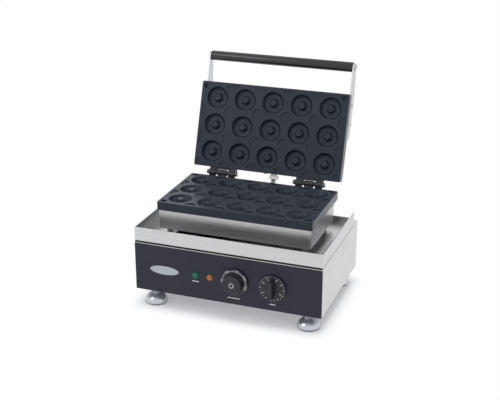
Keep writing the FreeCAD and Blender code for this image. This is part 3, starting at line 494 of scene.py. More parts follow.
# Temperature dial: a black moulded knob with a flared skirt, its scale printed on the skirt.
# It turns through three quarters of a circle on the thermostat's steel shaft.
moulded_black = mottled("black moulding", 70.0, (0.008, 0.009, 0.0155), (0.0135, 0.0145, 0.0225),
                        90.0, 0.34, 0.48, Specular_IOR_Level=0.5)
pebbled(moulded_black, 3400.0, 2.0, 0.03 * MM)
knob_low, knob_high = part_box("temperature_knob")
knob_middle = Vector(((knob_low.x + knob_high.x) / 2, knob_high.y, (knob_low.z + knob_high.z) / 2))
reach = knob_high.y - knob_low.y
skirt = 4 * MM
knob_profile = [(3.2 * MM, 0), (29.6 * MM, 0), (30 * MM, 0.5 * MM), (30 * MM, 2.6 * MM),
                (29.6 * MM, 3.5 * MM), (28.7 * MM, skirt), (22.6 * MM, skirt), (21.8 * MM, skirt + 0.4 * MM),
                (21.4 * MM, skirt + 1.4 * MM), (20.5 * MM, reach - 1.7 * MM), (20.1 * MM, reach - 0.8 * MM),
                (19.3 * MM, reach - 0.2 * MM), (18.6 * MM, reach), (17.6 * MM, reach),
                (17.2 * MM, reach - 0.4 * MM), (0, reach - 0.5 * MM)]
knob = turned(knob_profile, knob_middle, (0, -1, 0), 96)

dial_ticks, made = growth("dial ticks", (("Count", "Int"), ("Start", "Float"), ("Step", "Float"),
                                         ("Radius", "Float"), ("Size", "Vector")))
row = wire(dial_ticks, "GeometryNodeMeshLine", {"Count": made["Count"]})
number = wire(dial_ticks, "GeometryNodeInputIndex")
angle = maths(dial_ticks, "MULTIPLY_ADD", number, made["Step"], made["Start"])
spin = wire(dial_ticks, "ShaderNodeCombineXYZ", {2: angle})
arm = wire(dial_ticks, "ShaderNodeCombineXYZ", {0: made["Radius"]})
round_dial = wire(dial_ticks, "ShaderNodeVectorRotate", {"Vector": arm, "Angle": angle},
                  rotation_type="Z_AXIS")
spaced = wire(dial_ticks, "GeometryNodeSetPosition", {"Geometry": row, "Position": round_dial})
tick = wire(dial_ticks, "GeometryNodeMeshCube", {"Size": made["Size"]})
ticked = wire(dial_ticks, "GeometryNodeInstanceOnPoints",
              {"Points": spaced, "Instance": tick, "Rotation": spin})
harvest(dial_ticks, ticked, made)


def facing_front(centre):
    """Stands what lies flat on its back up against the front, at a centre."""
    return Matrix.Translation(centre) @ Matrix.Rotation(math.radians(90), 4, "X")


def ticks(count, start, step, radius, length, width, centre):
    """Printed marks round a dial; angles in degrees from the right, going up."""
    mesh = grown(dial_ticks, bpy.data.meshes.new("ticks"), white_print, Count=count,
                 Start=math.radians(start), Step=math.radians(step), Radius=radius,
                 Size=(length, width, 2 * print_depth))
    mesh.transform(facing_front(centre))
    return mesh


size_over_height = 1.4


def numeral(words, height, angle, radius, centre):
    """A printed number that reads outward from the middle of a dial."""
    letters = bpy.data.curves.new("numeral", "FONT")
    letters.body = words
    letters.size = height * size_over_height
    letters.align_x = "CENTER"
    letters.align_y = "CENTER"
    letters.extrude = print_depth
    letters.resolution_u = 3
    mesh = settled(placed("numeral", letters))
    turn = math.radians(angle)
    out = Matrix.Translation((radius * math.cos(turn), radius * math.sin(turn), 0))
    mesh.transform(facing_front(centre) @ out @ Matrix.Rotation(turn - math.pi / 2, 4, "Z"))
    return mesh


ring_seat = (knob_middle.x, knob_low.y + 0.5 * MM, knob_middle.z)
knob_ring = turned(in_metres([(5.2, 0), (5.2, 0.08), (4.2, 0.08), (4.2, 0)]), ring_seat, (0, -1, 0), 40,
                   closed=True)
skirt_face = Vector((knob_middle.x, knob_high.y - skirt, knob_middle.z))
degrees_marked = ("50", "100", "150", "200", "250")
first_number = 178
number_step = 49
scale_print = [numeral(words, 5.2 * MM, first_number - number_step * index, 25.8 * MM, skirt_face)
               for index, words in enumerate(degrees_marked)]
scale_print += [ticks(3, first_number - number_step * index - 16.5, -8, 25.6 * MM, 2.2 * MM, 1.3 * MM,
                      skirt_face) for index in range(len(degrees_marked) - 1)]
show("temperature_dial_knob", knob, moulded_black, "temperature_dial", "black_plastic", "temperature_knob")
scale_mesh = joined(scale_print + [knob_ring])
show("temperature_scale", scale_mesh, white_print, "temperature_dial", "black_plastic")
flutes, made = growth("grip flutes", (("Count", "Int"), ("Radius", "Float"), ("Length", "Float"),
                                      ("Width", "Float"), ("Lean", "Float")))
rim = wire(flutes, "GeometryNodeMeshCircle", {"Vertices": made["Count"], "Radius": made["Radius"]})
rod = wire(flutes, "GeometryNodeMeshCylinder",
           {"Vertices": 8, "Radius": made["Width"], "Depth": made["Length"]})
aim = wire(flutes, "GeometryNodeInputPosition")
lean = wire(flutes, "FunctionNodeAlignRotationToVector", {"Vector": aim}, axis="X")
tip = wire(flutes, "ShaderNodeCombineXYZ", {1: made["Lean"]})
tipped = wire(flutes, "GeometryNodeTransform", {"Geometry": rod, "Rotation": tip})
ribbed = wire(flutes, "GeometryNodeInstanceOnPoints", {"Points": rim, "Instance": tipped, "Rotation": lean})
harvest(flutes, ribbed, made)
flute_lean = math.atan2(-0.9, 13.3)
flute_middle = skirt + 8 * MM
grip_flutes = grown(flutes, bpy.data.meshes.new("flutes"), moulded_black, Count=48, Radius=20.75 * MM,
                    Length=12.4 * MM, Width=0.45 * MM, Lean=flute_lean)
grip_flutes.transform(facing_front((knob_middle.x, knob_high.y - flute_middle, knob_middle.z)))
show("temperature_flutes", crisp(grip_flutes, 50), moulded_black, "temperature_dial", "black_plastic")
turned_steel = mottled("turned steel", 260.0, (0.5, 0.5, 0.5), (0.66, 0.66, 0.65), 500.0, 0.16, 0.3,
                       Metallic=1.0)
dress(turned_steel, "thermostat_shaft", "timer_shaft", "hinge_pins")

# Timer dial: a black moulded disc with an upright bar to turn it by, marked all the way round.
# It sits on the shaft of a wind-up timer and runs back as the minutes pass.
timer_low, timer_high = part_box("timer_knob")
timer_middle = Vector(((timer_low.x + timer_high.x) / 2, timer_high.y, (timer_low.z + timer_high.z) / 2))
timer_disc = turned([(3.2 * MM, 0), (28.6 * MM, 0), (29 * MM, 0.5 * MM), (29 * MM, 2.6 * MM),
                     (28.6 * MM, 3.5 * MM), (27.7 * MM, skirt), (0, skirt)], timer_middle, (0, -1, 0), 96)


def grip_bar(half_width, half_length, foot, top):
    """The timer's bar: hollowed along both sides for finger and thumb, and crowned at its ends."""
    shape = bmesh.new()
    steps = 48
    pinch = 0.22
    pinch_reach = 0.55
    levels = [(foot, 1.0), (top - 2.2 * MM, 0.95), (top - 0.9 * MM, 0.9), (top, 0.74)]
    rows = []
    for height, share in levels:
        row = []
        for step in range(steps):
            angle = 2 * math.pi * step / steps
            along = math.copysign(abs(math.sin(angle)) ** 0.75, math.sin(angle))
            across = math.copysign(abs(math.cos(angle)) ** 0.3, math.cos(angle))
            waist = 1 - pinch * math.exp(-(along / pinch_reach) ** 2)
            inset = (1 - share) * half_width
            row.append(shape.verts.new((across * waist * (half_width - inset), along * (half_length - inset),
                                        height)))
        rows.append(row)
    for lower_row, upper_row in zip(rows, rows[1:]):
        for step in range(steps):
            follow = (step + 1) % steps
            shape.faces.new((lower_row[step], lower_row[follow], upper_row[follow], upper_row[step]))
    shape.faces.new(rows[-1])
    shape.faces.new(list(reversed(rows[0])))
    bmesh.ops.recalc_face_normals(shape, faces=shape.faces[:])
    return as_mesh(shape, "grip bar")


timer_bar = grip_bar(5.5 * MM, 20 * MM, skirt - 0.3 * MM, timer_high.y - timer_low.y)
timer_bar.transform(facing_front(timer_middle))
show("timer_dial_knob", crisp(joined([timer_disc, timer_bar]), 28), moulded_black, "timer_dial",
     "black_plastic", "timer_knob")
disc_face = Vector((timer_middle.x, timer_high.y - skirt, timer_middle.z))
upright = 90
tick_step = 30
timer_print = [ticks(11, upright + tick_step, tick_step, 25.6 * MM, 3.2 * MM, 1.0 * MM, disc_face),
               ticks(12, upright + tick_step / 2, tick_step, 26.1 * MM, 1.8 * MM, 0.7 * MM, disc_face)]
minute_angles = (("1", 60), ("2", 120), ("3", 240), ("4", 300), ("0", 25), ("5", 335))
timer_print += [numeral(words, 4.2 * MM, upright - angle, 20.4 * MM, disc_face)
                for words, angle in minute_angles]
bar_top = Vector((timer_middle.x, timer_low.y + 0.05 * MM, timer_middle.z))
pointer = ticks(1, upright, 0, 15.6 * MM, 5.5 * MM, 1.0 * MM, bar_top)
show("timer_scale", joined(timer_print + [pointer]), white_print, "timer_dial", "black_plastic")

# Mains inlet: a plain black nylon gland, screwed into the back of the base.
# It is moulded like the dials, with the same fine grain and softly rounded edges.
softened("mains_gland", "cable_gland", 0.4 * MM, moulded_black, "base", "black_plastic")

# Feet: turned and chromed bells that screw up and down on fixed studs to level the base.
# A rubber pad lies in the foot of each and shows as a thin dark edge.
chrome, tree, shader = finish("chrome", Metallic=1.0)
# Painted reflection: the chrome is darkened towards the neck and in a thin band at the bottom of the rim,
# standing in for dark things it would mirror.
place = wire(tree, "ShaderNodeTexCoord").outputs["Object"]
height = wire(tree, "ShaderNodeSeparateXYZ", {0: place}).outputs["Z"]
into_neck = ramp(tree, height, 9 * MM, 21 * MM, interpolation_type="SMOOTHSTEP")
onto_rim = ramp(tree, height, 4.2 * MM, 2.4 * MM, interpolation_type="SMOOTHSTEP")
dark_reflection_bands = maths(tree, "MAXIMUM", into_neck, onto_rim)
painted_reflection = maths(tree, "MULTIPLY", dark_reflection_bands, marks(tree, 45.0, 0.7, 1.0))
surfaced(tree, shader, painted_reflection, (0.54, 0.57, 0.61), (0.13, 0.14, 0.16), 150.0, 0.05, 0.13)
rubber, tree, shader = finish("black rubber", Specular_IOR_Level=0.15)
crumb = noise(tree, 1800.0, 3.0)
surfaced(tree, shader, crumb, (0.008, 0.008, 0.008), (0.02, 0.02, 0.02), 200.0, 0.65, 0.85)
tree.links.new(relief(tree, crumb, 0.08 * MM, 0.6), shader["Normal"])
foot_profile = in_metres([
    (4.1, 37.9), (9.9, 37.9), (10.3, 37.5), (10.3, 27.0), (10.5, 25.2), (11.2, 23.6), (12.8, 21.7),
    (15.4, 19.2), (18.3, 16.6), (20.9, 14.0), (22.6, 11.6), (23.6, 9.2), (24.2, 6.8), (24.4, 4.9),
    (24.3, 3.6), (23.9, 2.5), (23.2, 1.7), (21.6, 1.5), (21.6, 2.4), (4.1, 2.4)])
for corner in ("front_left", "front_right", "rear_left", "rear_right"):
    low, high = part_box("foot_pad_" + corner)
    under = Vector(((low.x + high.x) / 2, (low.y + high.y) / 2, 0))
    body = "foot_" + corner
    bell = turned(foot_profile, under, (0, 0, 1), 72, closed=True)
    show("bell_" + corner, crisp(bell, 40), chrome, body, "bright_steel", body)
    softened("pad_" + corner, "foot_pad_" + corner, 0.3 * MM, rubber, body, "rubber")

# Tray: a pan of brushed stainless with a hemmed rim, lower at the back, that catches drips.
# It lies on a rubber gasket; a black rubber strip with a thin lip fills the gap under the rim as a painted
# shadow, the dark line there.
dress(rubber, "tray_gasket")


def bead(low, high, edge):
    """A straight moulded strip with rounded edges between two corners, in millimetres."""
    shape = bmesh.new()
    bmesh.ops.create_cube(shape, size=1.0)
    bmesh.ops.scale(shape, verts=shape.verts[:], vec=[(b - a) * MM for a, b in zip(low, high)])
    bmesh.ops.translate(shape, verts=shape.verts[:], vec=[(a + b) / 2 * MM for a, b in zip(low, high)])
    bmesh.ops.bevel(shape, geom=shape.edges[:], offset=edge * MM, segments=2, affect="EDGES", profile=0.5)
    return crisp(as_mesh(shape, "bead"), 50)


# Painted shadow: black strips along the front and the sides, set in the gap between the rim and the panel.
shadow_strip_front = fascia_y / MM
shadow_strip_rear = 71.0
tray_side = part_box("tray")[1].x / MM
rim_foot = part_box("tray")[0].z / MM
panel_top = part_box("front_panel")[1].z / MM
shell_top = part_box("base_shell")[1].z / MM
shadow_strip_slack = 0.05
shadow_strip_top = rim_foot - shadow_strip_slack
shadow_strip_end = tray_side - 1.6
front_strip = bead((-shadow_strip_end, shadow_strip_front - 0.25, panel_top + shadow_strip_slack),
                   (shadow_strip_end, shadow_strip_front + 1.9, shadow_strip_top), 0.2)
front_lip = bead((-shadow_strip_end, shadow_strip_front - 0.3, rim_foot - 0.9),
                 (shadow_strip_end, shadow_strip_front - 0.03, rim_foot + 1.2), 0.1)
side_strips = [bead((left, shadow_strip_front + 2.1, shell_top + shadow_strip_slack), (right, shadow_strip_rear, shadow_strip_top), 0.25)
               for left, right in ((tray_side - 1.7, tray_side - 0.5), (0.5 - tray_side, 1.7 - tray_side))]
show("tray_seal", joined([front_strip, front_lip] + side_strips), rubber, "base", "rubber")
softened("tray_pan", "tray", sheet_edge, steel, "base", "stainless")

# Lower housing: a stainless tub on four dull steel stand-offs, which lifts the lower plate off the tray.
# Its sheet is the same as the tray's, made a little darker as painted shade.
shade_darkened_steel = brushed("stainless with painted shade", (0.49, 0.498, 0.495), (0.56, 0.568, 0.563), 0.26, 0.02)
softened("housing_tub", "lower_housing", sheet_edge, shade_darkened_steel, "base", "stainless")
dull_steel = mottled("dull steel", 240.0, (0.13, 0.13, 0.14), (0.27, 0.27, 0.28), 420.0, 0.25, 0.42,
                     Metallic=1.0)
dress(dull_steel, "housing_standoffs")

# Heat: a sheathed element folded on the back of each plate, clamped down, with wool behind it.
# Sheath and clamps are dark from firing, and the wool is a pale mineral mat of fine fibres.
sheath = mottled("element sheath", 80.0, (0.07, 0.065, 0.06), (0.16, 0.14, 0.12), 220.0, 0.4, 0.6,
                 Metallic=0.8)
dress(sheath, "lower_heater", "upper_heater", "lower_heater_clamps", "upper_heater_clamps")
mineral_wool, tree, shader = finish("mineral wool")
fibres = noise(tree, 1.0, 6.0, stretch=(90, 160, 700))
surfaced(tree, shader, fibres, (0.42, 0.38, 0.3), (0.68, 0.63, 0.52), 60.0, 0.85, 0.98)
tree.links.new(relief(tree, fibres, 1.2 * MM), shader["Normal"])
dress(mineral_wool, "lower_insulation", "upper_insulation")

# Mould plates: two aluminium castings with a dark non-stick coat, five by three ring cavities each.
# Round hollows lie between the rings, front corners have pry recesses, and the ends carry a painted
# reflection, a paler grey.
# The lower plate's face and hollows are painted a little paler than its rings, a painted sheen.
plate_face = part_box("lower_plate")[1].z
nonstick, tree, shader = finish("non-stick coat", Specular_IOR_Level=0.28)
flecked = maths(tree, "MULTIPLY", noise(tree, 1500.0, 3.0), marks(tree, 16.0, 0.6, 1.4))
coat_tone = between(tree, flecked, (0.012, 0.0182, 0.0295), (0.0185, 0.0258, 0.039))
place = wire(tree, "ShaderNodeTexCoord").outputs
facing = wire(tree, "ShaderNodeSeparateXYZ", {0: place["Normal"]}).outputs
height = wire(tree, "ShaderNodeSeparateXYZ", {0: place["Object"]}).outputs["Z"]
# Painted reflection: faces that look along X, the plates' ends, are painted a paler grey.
painted_end_reflection = ramp(tree, maths(tree, "ABSOLUTE", facing["X"]), 0.9, 0.99)
# Painted sheen: upward faces within 2.3 mm of the lower plate's top are painted paler than its rings.
upward = ramp(tree, facing["Z"], 0.9, 0.99)
near_face = ramp(tree, height, plate_face - 3.2 * MM, plate_face - 2.3 * MM)
painted_sheen_mask = maths(tree, "MULTIPLY", upward, near_face)
painted_sheen_tone = (0.033, 0.0402, 0.0535)
end_reflection_tone = (0.16, 0.165, 0.175)
land_tone = between(tree, painted_sheen_mask, coat_tone, painted_sheen_tone)
surfaced(tree, shader, painted_end_reflection, land_tone, end_reflection_tone, 28.0, 0.3, 0.44)
orange_peel = noise(tree, 420.0, 2.0)
tree.links.new(relief(tree, orange_peel, 0.06 * MM, 0.5), shader["Normal"])
ring_profile = in_metres([
    (24.95, 0.05), (24.6, -0.1), (24.36, -0.34), (24.15, -0.75), (23.2, -2.8), (22.15, -5.0),
    (21.5, -6.1), (20.6, -7.1), (19.5, -7.9), (18.2, -8.4), (16.8, -8.6), (12.2, -8.6),
    (11.0, -8.45), (10.0, -8.0), (9.3, -7.2), (8.85, -6.2), (6.85, -0.85), (6.6, -0.4),
    (6.25, -0.12), (5.9, 0.05), (5.9, 1.5), (24.95, 1.5)])
ring_cutter = placed("ring cutter", turned(ring_profile, (0, 0, 0), (0, 0, 1), 64, closed=True))

mould, made = growth("ring mould", (
    ("Ring cutter", "Object"), ("Columns", "Int"), ("Rows", "Int"),
    ("Pitch X", "Float"), ("Pitch Y", "Float"), ("Hollow radius", "Float"), ("Hollow depth", "Float"),
    ("Field", "Vector"), ("Recess radius", "Float"), ("Recess depth", "Float"),
    ("Recess start", "Vector"), ("Recess step", "Vector"), ("Recesses", "Int")))


def lattice(extra):
    """Points in the plan of the rings, or with one more each way, the crossings between them."""
    counts = [maths(mould, "ADD", made[name], extra) for name in ("Columns", "Rows")]
    steps = [maths(mould, "ADD", count, -1.0) for count in counts]
    spans = [maths(mould, "MULTIPLY", step, made[pitch])
             for step, pitch in zip(steps, ("Pitch X", "Pitch Y"))]
    grid = wire(mould, "GeometryNodeMeshGrid", {"Size X": spans[0], "Size Y": spans[1],
                                                "Vertices X": counts[0], "Vertices Y": counts[1]})
    return grid.outputs[0]


def planted_cutters(points, cutter):
    """A cutter at every point, as plain geometry."""
    copies = wire(mould, "GeometryNodeInstanceOnPoints", {"Points": points, "Instance": cutter})
    return wire(mould, "GeometryNodeRealizeInstances", {0: copies}).outputs[0]


def plug(radius, depth, sides):
    """A round cutter half sunk in the face."""
    twice = maths(mould, "MULTIPLY", made[depth], 2.0)
    return wire(mould, "GeometryNodeMeshCylinder",
                {"Vertices": sides, "Radius": made[radius], "Depth": twice}).outputs[0]


ring_source = wire(mould, "GeometryNodeObjectInfo", {"Object": made["Ring cutter"]})
ring_cuts = planted_cutters(lattice(0.0), ring_source.outputs["Geometry"])
field = wire(mould, "GeometryNodeMeshCube", {"Size": made["Field"]})
hollows = planted_cutters(lattice(1.0), plug("Hollow radius", "Hollow depth", 48))
kept_hollows = wire(mould, "GeometryNodeMeshBoolean", {1: hollows}, operation="INTERSECT", solver="EXACT")
mould.links.new(field.outputs[0], kept_hollows.inputs[1])
recess_row = wire(mould, "GeometryNodeMeshLine",
                  {"Count": made["Recesses"], "Start Location": made["Recess start"],
                   "Offset": made["Recess step"]})
recess_cuts = planted_cutters(recess_row, plug("Recess radius", "Recess depth", 32))
cast = wire(mould, "GeometryNodeMeshBoolean", {0: made["Geometry"], 1: ring_cuts}, operation="DIFFERENCE",
            solver="EXACT")
mould.links.new(kept_hollows.outputs[0], cast.inputs[1])
mould.links.new(recess_cuts, cast.inputs[1])
harvest(mould, cast, made)

plate_size = Vector((340 * MM, 189.5 * MM, 18.3 * MM))
plate_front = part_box("lower_plate")[0].y
plate_middle_y = plate_front + plate_size.y / 2


def plate_block():
    """The uncut casting: its upright corners round, its other edges softened."""
    shape = bmesh.new()
    bmesh.ops.create_cube(shape, size=1.0)
    bmesh.ops.scale(shape, verts=shape.verts[:], vec=plate_size)
    bmesh.ops.translate(shape, verts=shape.verts[:], vec=(0, 0, -plate_size.z / 2))
    uprights = [edge for edge in shape.edges if abs(edge.verts[0].co.z - edge.verts[1].co.z) > same_point]
    bmesh.ops.bevel(shape, geom=uprights, offset=4 * MM, segments=8, affect="EDGES", profile=0.5)
    rims = [edge for edge in shape.edges if abs(edge.verts[0].co.z - edge.verts[1].co.z) < same_point]
    bmesh.ops.bevel(shape, geom=rims, offset=0.8 * MM, segments=3, affect="EDGES", profile=0.5)
    return as_mesh(shape, "plate block")


def mould_plate(recesses):
    """A plate lying face up with the middle of its face at the origin."""
    return crisp(grown(mould, plate_block(), nonstick, Ring_cutter=ring_cutter, Columns=5, Rows=3,
                       Pitch_X=65.2 * MM, Pitch_Y=60.1 * MM, Hollow_radius=12.6 * MM, Hollow_depth=2.1 * MM,
                       Field=(329 * MM, 178.5 * MM, 10 * MM), Recess_radius=5.6 * MM, Recess_depth=6 * MM,
                       Recess_start=(-159.5 * MM, -84.25 * MM, 0), Recess_step=(319 * MM, 0, 0),
                       Recesses=recesses), 28)


lower_mould = mould_plate(recesses=1)
lower_mould.transform(Matrix.Translation((0, plate_middle_y, plate_face)))
kept_flat(show("lower_mould", lower_mould, nonstick, "base", "nonstick", "lower_plate"))
pins_low, pins_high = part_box("hinge_pins")
hinge_line = (pins_low + pins_high) / 2
lid_swing = 109
plate_gap = 0.5 * MM
swung_back = Matrix.Rotation(math.radians(-lid_swing), 4, "X")
opened = Matrix.Translation(hinge_line) @ swung_back @ Matrix.Translation(-hinge_line)
face_down = Matrix.Rotation(math.pi, 4, "Y")
closed_over = Matrix.Translation((0, plate_middle_y, plate_face + plate_gap)) @ face_down
upper_mould = mould_plate(recesses=2)
upper_mould.transform(opened @ closed_over)
kept_flat(show("upper_mould", upper_mould, nonstick, "lid", "nonstick", "upper_plate"))
bpy.data.objects.remove(ring_cutter)

# Hinges: two pairs of dark cast leaves screwed to the back edges of the plates.
# Each pair turns on a steel pin with a dull steel nut at both ends, and sleeves keep the lugs apart.
hinge_coat = mottled("dark hinge coat", 130.0, (0.018, 0.019, 0.022), (0.05, 0.052, 0.058),
                     260.0, 0.3, 0.5, Metallic=0.5)
pebbled(hinge_coat, 900.0, 3.0, 0.12 * MM)
bar_edge = 0.5 * MM
for side in ("left", "right"):
    softened("base_leaf_" + side, "hinge_base_leaf_" + side, bar_edge, hinge_coat, "base", "hinge_steel")
    softened("lid_leaf_" + side, "hinge_lid_leaf_" + side, bar_edge, hinge_coat, "lid", "hinge_steel")
softened("pin_nut_set", "hinge_pin_nuts", 0.3 * MM, dull_steel, "base", "fastener")
sleeve_profile = in_metres([(3.1, -2.4), (4.9, -2.4), (5.2, -2.1), (5.2, 2.1), (4.9, 2.4), (3.1, 2.4)])
sleeve_spots = [Vector((x * MM, 0, 0)) for x in (-113.5, -88.5, 88.5, 113.5)]
sleeves = [turned(sleeve_profile, hinge_line + spot, (1, 0, 0), 32, closed=True) for spot in sleeve_spots]
show("pin_sleeves", joined(sleeves), hinge_coat, "base", "hinge_steel")
dress(turned_steel, "hinge_base_screws", "hinge_lid_screws")

# Lid cover: a drawn stainless box over the back of the upper plate, which holds its heat in.
# It is the same brushed sheet as the base, with softly rounded folds.
softened("lid_box", "lid_cover", sheet_edge, steel, "lid", "stainless")

# Handle: two flat steel arms screwed to the sides of the lid, with a round black grip between.
# A rod runs through the grip, with a low round bolt head at each end.
for side in ("left", "right"):
    softened("arm_bar_" + side, "handle_arm_" + side, bar_edge, steel, "lid", "stainless")
arm_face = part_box("handle_arm_right")[1].x
arm_height = 258.05 * MM
arm_spots = [Vector((side * arm_face, plate_front + along * MM, arm_height))
             for side in (-1, 1) for along in (22, 64)]
arm_seats = [(opened @ spot, Vector((math.copysign(1, spot.x), 0, 0))) for spot in arm_spots]
buttons = grown(screws, seats(arm_seats), turned_steel, Head=5 * MM, Crown=3.4 * MM, Height=3 * MM,
                Socket=1.9 * MM, Shank=2.5 * MM, Length=7.5 * MM)
show("arm_screw_set", crisp(buttons), turned_steel, "lid", "fastener", "arm_screws")
gloss_black, tree, shader = finish("gloss black grip", Specular_IOR_Level=0.62)
drawn_lines = noise(tree, 1.0, 3.0, stretch=(6, 700, 700))
surfaced(tree, shader, drawn_lines, (0.0035, 0.0033, 0.0065), (0.0065, 0.006, 0.0105), 40.0, 0.2, 0.28)
low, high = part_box("handle_grip")
grip_middle = (low + high) / 2
half = (high.x - low.x) / 2
grip_profile = [(5.1 * MM, -half), (9.6 * MM, -half), (10.4 * MM, -half + 0.4 * MM),
                (10.75 * MM, -half + 1.3 * MM), (10.75 * MM, half - 1.3 * MM), (10.4 * MM, half - 0.4 * MM),
                (9.6 * MM, half), (5.1 * MM, half)]
grip = turned(grip_profile, grip_middle, (1, 0, 0), 64, closed=True)
show("grip_tube", grip, gloss_black, "lid", "black_plastic", "handle_grip")
end_profile = in_metres([(0, -20), (5, -20), (5, 0), (6.6, 0), (6.9, 0.4), (6.9, 1.4), (6.5, 2.3),
                         (5.4, 2.9), (3.4, 3.2), (3.0, 3.0), (2.6, 1.6), (0, 1.6)])
ends = [turned(end_profile, (side * arm_face, grip_middle.y, grip_middle.z), (side, 0, 0), 48)
        for side in (-1, 1)]
show("grip_bolts", crisp(joined(ends), 40), turned_steel, "lid", "bright_steel",
     "handle_rod", "handle_cap_nuts")

# Wiring conduit: a ribbed metal hose that carries the lid's wires from the housing to the cover.
# Nickel glands hold it at both ends.
nickel = mottled("nickel gland", 180.0, (0.5, 0.49, 0.46), (0.64, 0.63, 0.6), 300.0, 0.2, 0.34, Metallic=1.0)
gland_edge = 0.35 * MM
softened("gland_low", "conduit_gland_housing", gland_edge, nickel, "base", "gland")
softened("gland_high", "conduit_gland_lid", gland_edge, nickel, "lid", "gland")
nut_bore = 7.5 * MM
nut_across = 20 * MM
nut_height = 8 * MM


def gland_nut(seat, axis):
    """A six-sided nut with a hole, its corners taken off at both ends."""
    corner = nut_across / math.sqrt(3)
    cut_in = corner * 0.9
    cut_back = corner * 0.06
    profile = [(nut_bore, 0), (cut_in, 0), (corner, cut_back), (corner, nut_height - cut_back),
               (cut_in, nut_height), (nut_bore, nut_height)]
    return crisp(turned(profile, seat, axis, 6, closed=True), 20)


low_end = Vector((-64 * MM, 50.4 * MM, 185.5 * MM))
show("gland_nut_low", gland_nut(low_end, (0, 1, 0)), nickel, "base", "gland")
lid_back_y = 58.188 * MM
lid_gland = opened @ Vector((10 * MM, lid_back_y, 260 * MM))
lid_bolt = opened @ Vector((-9 * MM, lid_back_y, 254 * MM))
down = opened.to_3x3() @ Vector((0, 1, 0))
show("gland_nut_high", gland_nut(lid_gland + down * nut_height, down), nickel, "lid", "gland")
bolt = grown(screws, seats([(lid_bolt + down * 2 * MM, down)]), dull_steel, Head=4.5 * MM, Crown=3.6 * MM,
             Height=4 * MM, Socket=1.8 * MM, Shank=2.5 * MM, Length=6 * MM)
show("lid_earth_bolt", crisp(bolt), dull_steel, "lid", "fastener")
hose_metal = mottled("hose strip", 140.0, (0.42, 0.43, 0.43), (0.58, 0.59, 0.59), 320.0, 0.28, 0.45,
                     Metallic=1.0)
route = bpy.data.curves.new("hose route", "CURVE")
route.dimensions = "3D"
line = route.splines.new("NURBS")
route_points = ((-64, 62.39, 185.5), (-64, 102.39, 185.5), (10, 91.53, 188.86), (10, 101.3, 217.22))
line.points.add(len(route_points) - 1)
for point, (x, y, z) in zip(line.points, route_points):
    point.co = (x * MM, y * MM, z * MM, 1)
line.order_u = 3
line.use_endpoint_u = True
line.resolution_u = 40
route_line = placed("hose route", route)

ribs, made = growth("ribbed hose", (("Route", "Object"), ("Root", "Float"), ("Rib", "Float"),
                                    ("Pitch", "Float"), ("Spacing", "Float")))
path = wire(ribs, "GeometryNodeObjectInfo", {"Object": made["Route"]})
even = wire(ribs, "GeometryNodeResampleCurve",
            {"Curve": path.outputs["Geometry"], "Length": made["Spacing"]}, mode="LENGTH")
travel = wire(ribs, "GeometryNodeSplineParameter")
turns = maths(ribs, "DIVIDE", travel.outputs["Length"], made["Pitch"])
wave = maths(ribs, "COSINE", maths(ribs, "MULTIPLY", turns, 2 * math.pi))
girth = wire(ribs, "ShaderNodeMapRange", {0: wave, 1: -0.7, 2: 0.7, 3: made["Root"], 4: made["Rib"]},
             interpolation_type="SMOOTHSTEP")
section = wire(ribs, "GeometryNodeCurvePrimitiveCircle", {"Resolution": 28, "Radius": 1.0})
tube = wire(ribs, "GeometryNodeCurveToMesh",
            {"Curve": even, "Profile Curve": section, "Scale": girth, "Fill Caps": True})
harvest(ribs, tube, made)
hose_mesh = grown(ribs, bpy.data.meshes.new("hose"), hose_metal, Route=route_line, Root=5 * MM, Rib=6 * MM,
                  Pitch=6 * MM, Spacing=0.6 * MM)
bpy.data.objects.remove(route_line)
hose_mesh.name = "wiring_hose"
hose = placed("wiring_hose", crisp(hose_mesh, 60))
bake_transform(hose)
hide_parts("wiring_conduit")

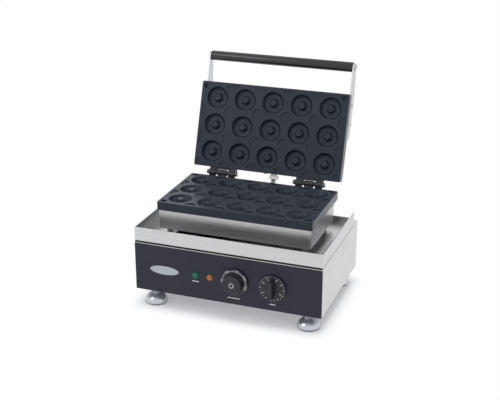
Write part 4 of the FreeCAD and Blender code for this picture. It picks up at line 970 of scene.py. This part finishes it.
# Studio: a pale floor that fades into a white surround and keeps the soft shadow.
# A wide lamp hangs overhead, with a smaller one to the left of the front.
floor_shape = bmesh.new()
bmesh.ops.create_grid(floor_shape, x_segments=4, y_segments=4, size=4.0)
floor_mesh = as_mesh(floor_shape, "floor")
floor_mesh.transform(Matrix.Translation((0, 0, -0.2 * MM)))
floor = placed("floor", floor_mesh)
paper, tree, shader = finish("pale floor", Specular_IOR_Level=0.0, Roughness=1.0)
tree.links.new(between(tree, noise(tree, 3.0, 2.0), (0.915, 0.935, 0.975), (0.93, 0.95, 0.99)),
               shader["Base Color"])
base_middle = (0, -0.03, 0)
base_half = (0.18, 0.12, 0)
fade_width = 0.052
least_white = 0.22
place = wire(tree, "ShaderNodeTexCoord").outputs["Object"]
from_middle = maths(tree, "SUBTRACT", place, base_middle, kind="VectorMath")
one_corner = maths(tree, "ABSOLUTE", from_middle, kind="VectorMath")
past_base = maths(tree, "SUBTRACT", one_corner, base_half, kind="VectorMath")
outside = maths(tree, "MAXIMUM", past_base, (0, 0, 0), kind="VectorMath")
away = wire(tree, "ShaderNodeVectorMath", {0: outside}, operation="LENGTH").outputs["Value"]
fade = ramp(tree, away, 0.0, fade_width, interpolation_type="SMOOTHSTEP")
rays = wire(tree, "ShaderNodeLightPath").outputs
seen = maths(tree, "MAXIMUM", rays["Is Camera Ray"], rays["Is Glossy Ray"])
white_share = maths(tree, "MULTIPLY", maths(tree, "MAXIMUM", fade, least_white), seen)
surround = wire(tree, "ShaderNodeEmission", {"Color": (1, 1, 1, 1), "Strength": 1.0})
blended = wire(tree, "ShaderNodeMixShader", {0: white_share, 1: tree.nodes["Principled BSDF"], 2: surround})
tree.links.new(blended.outputs[0], tree.nodes["Material Output"].inputs["Surface"])
floor_mesh.materials.append(paper)

world = bpy.data.worlds.new("studio")
scene.world = world
world.use_nodes = True
sky = world.node_tree
backdrop = sky.nodes["Background"]
rays = wire(sky, "ShaderNodeLightPath").outputs
straight = maths(sky, "MAXIMUM", rays["Is Camera Ray"], rays["Is Glossy Ray"])
seen = maths(sky, "MAXIMUM", straight, rays["Is Transmission Ray"])
level = wire(sky, "ShaderNodeMapRange", {0: seen, 3: 0.5, 4: 1.0})
sky.links.new(level.outputs[0], backdrop.inputs["Strength"])
backdrop.inputs["Color"].default_value = (1, 1, 1, 1)


def soft_lamp(name, size, power, spot, target):
    """A square softbox that looks at a point."""
    light = bpy.data.lights.new(name, "AREA")
    light.size = size
    light.energy = power
    lamp = placed(name, light)
    lamp.location = spot
    lamp.rotation_euler = (Vector(target) - Vector(spot)).to_track_quat("-Z", "Y").to_euler()
    return lamp


overhead = soft_lamp("overhead", size=2.4, power=40.0, spot=(0.2, -0.1, 2.6), target=(0, 0, 0.1))
overhead.visible_glossy = False
soft_lamp("left_front", size=1.2, power=12.0, spot=(-1.5, -1.7, 1.8), target=(0, 0, 0.2))
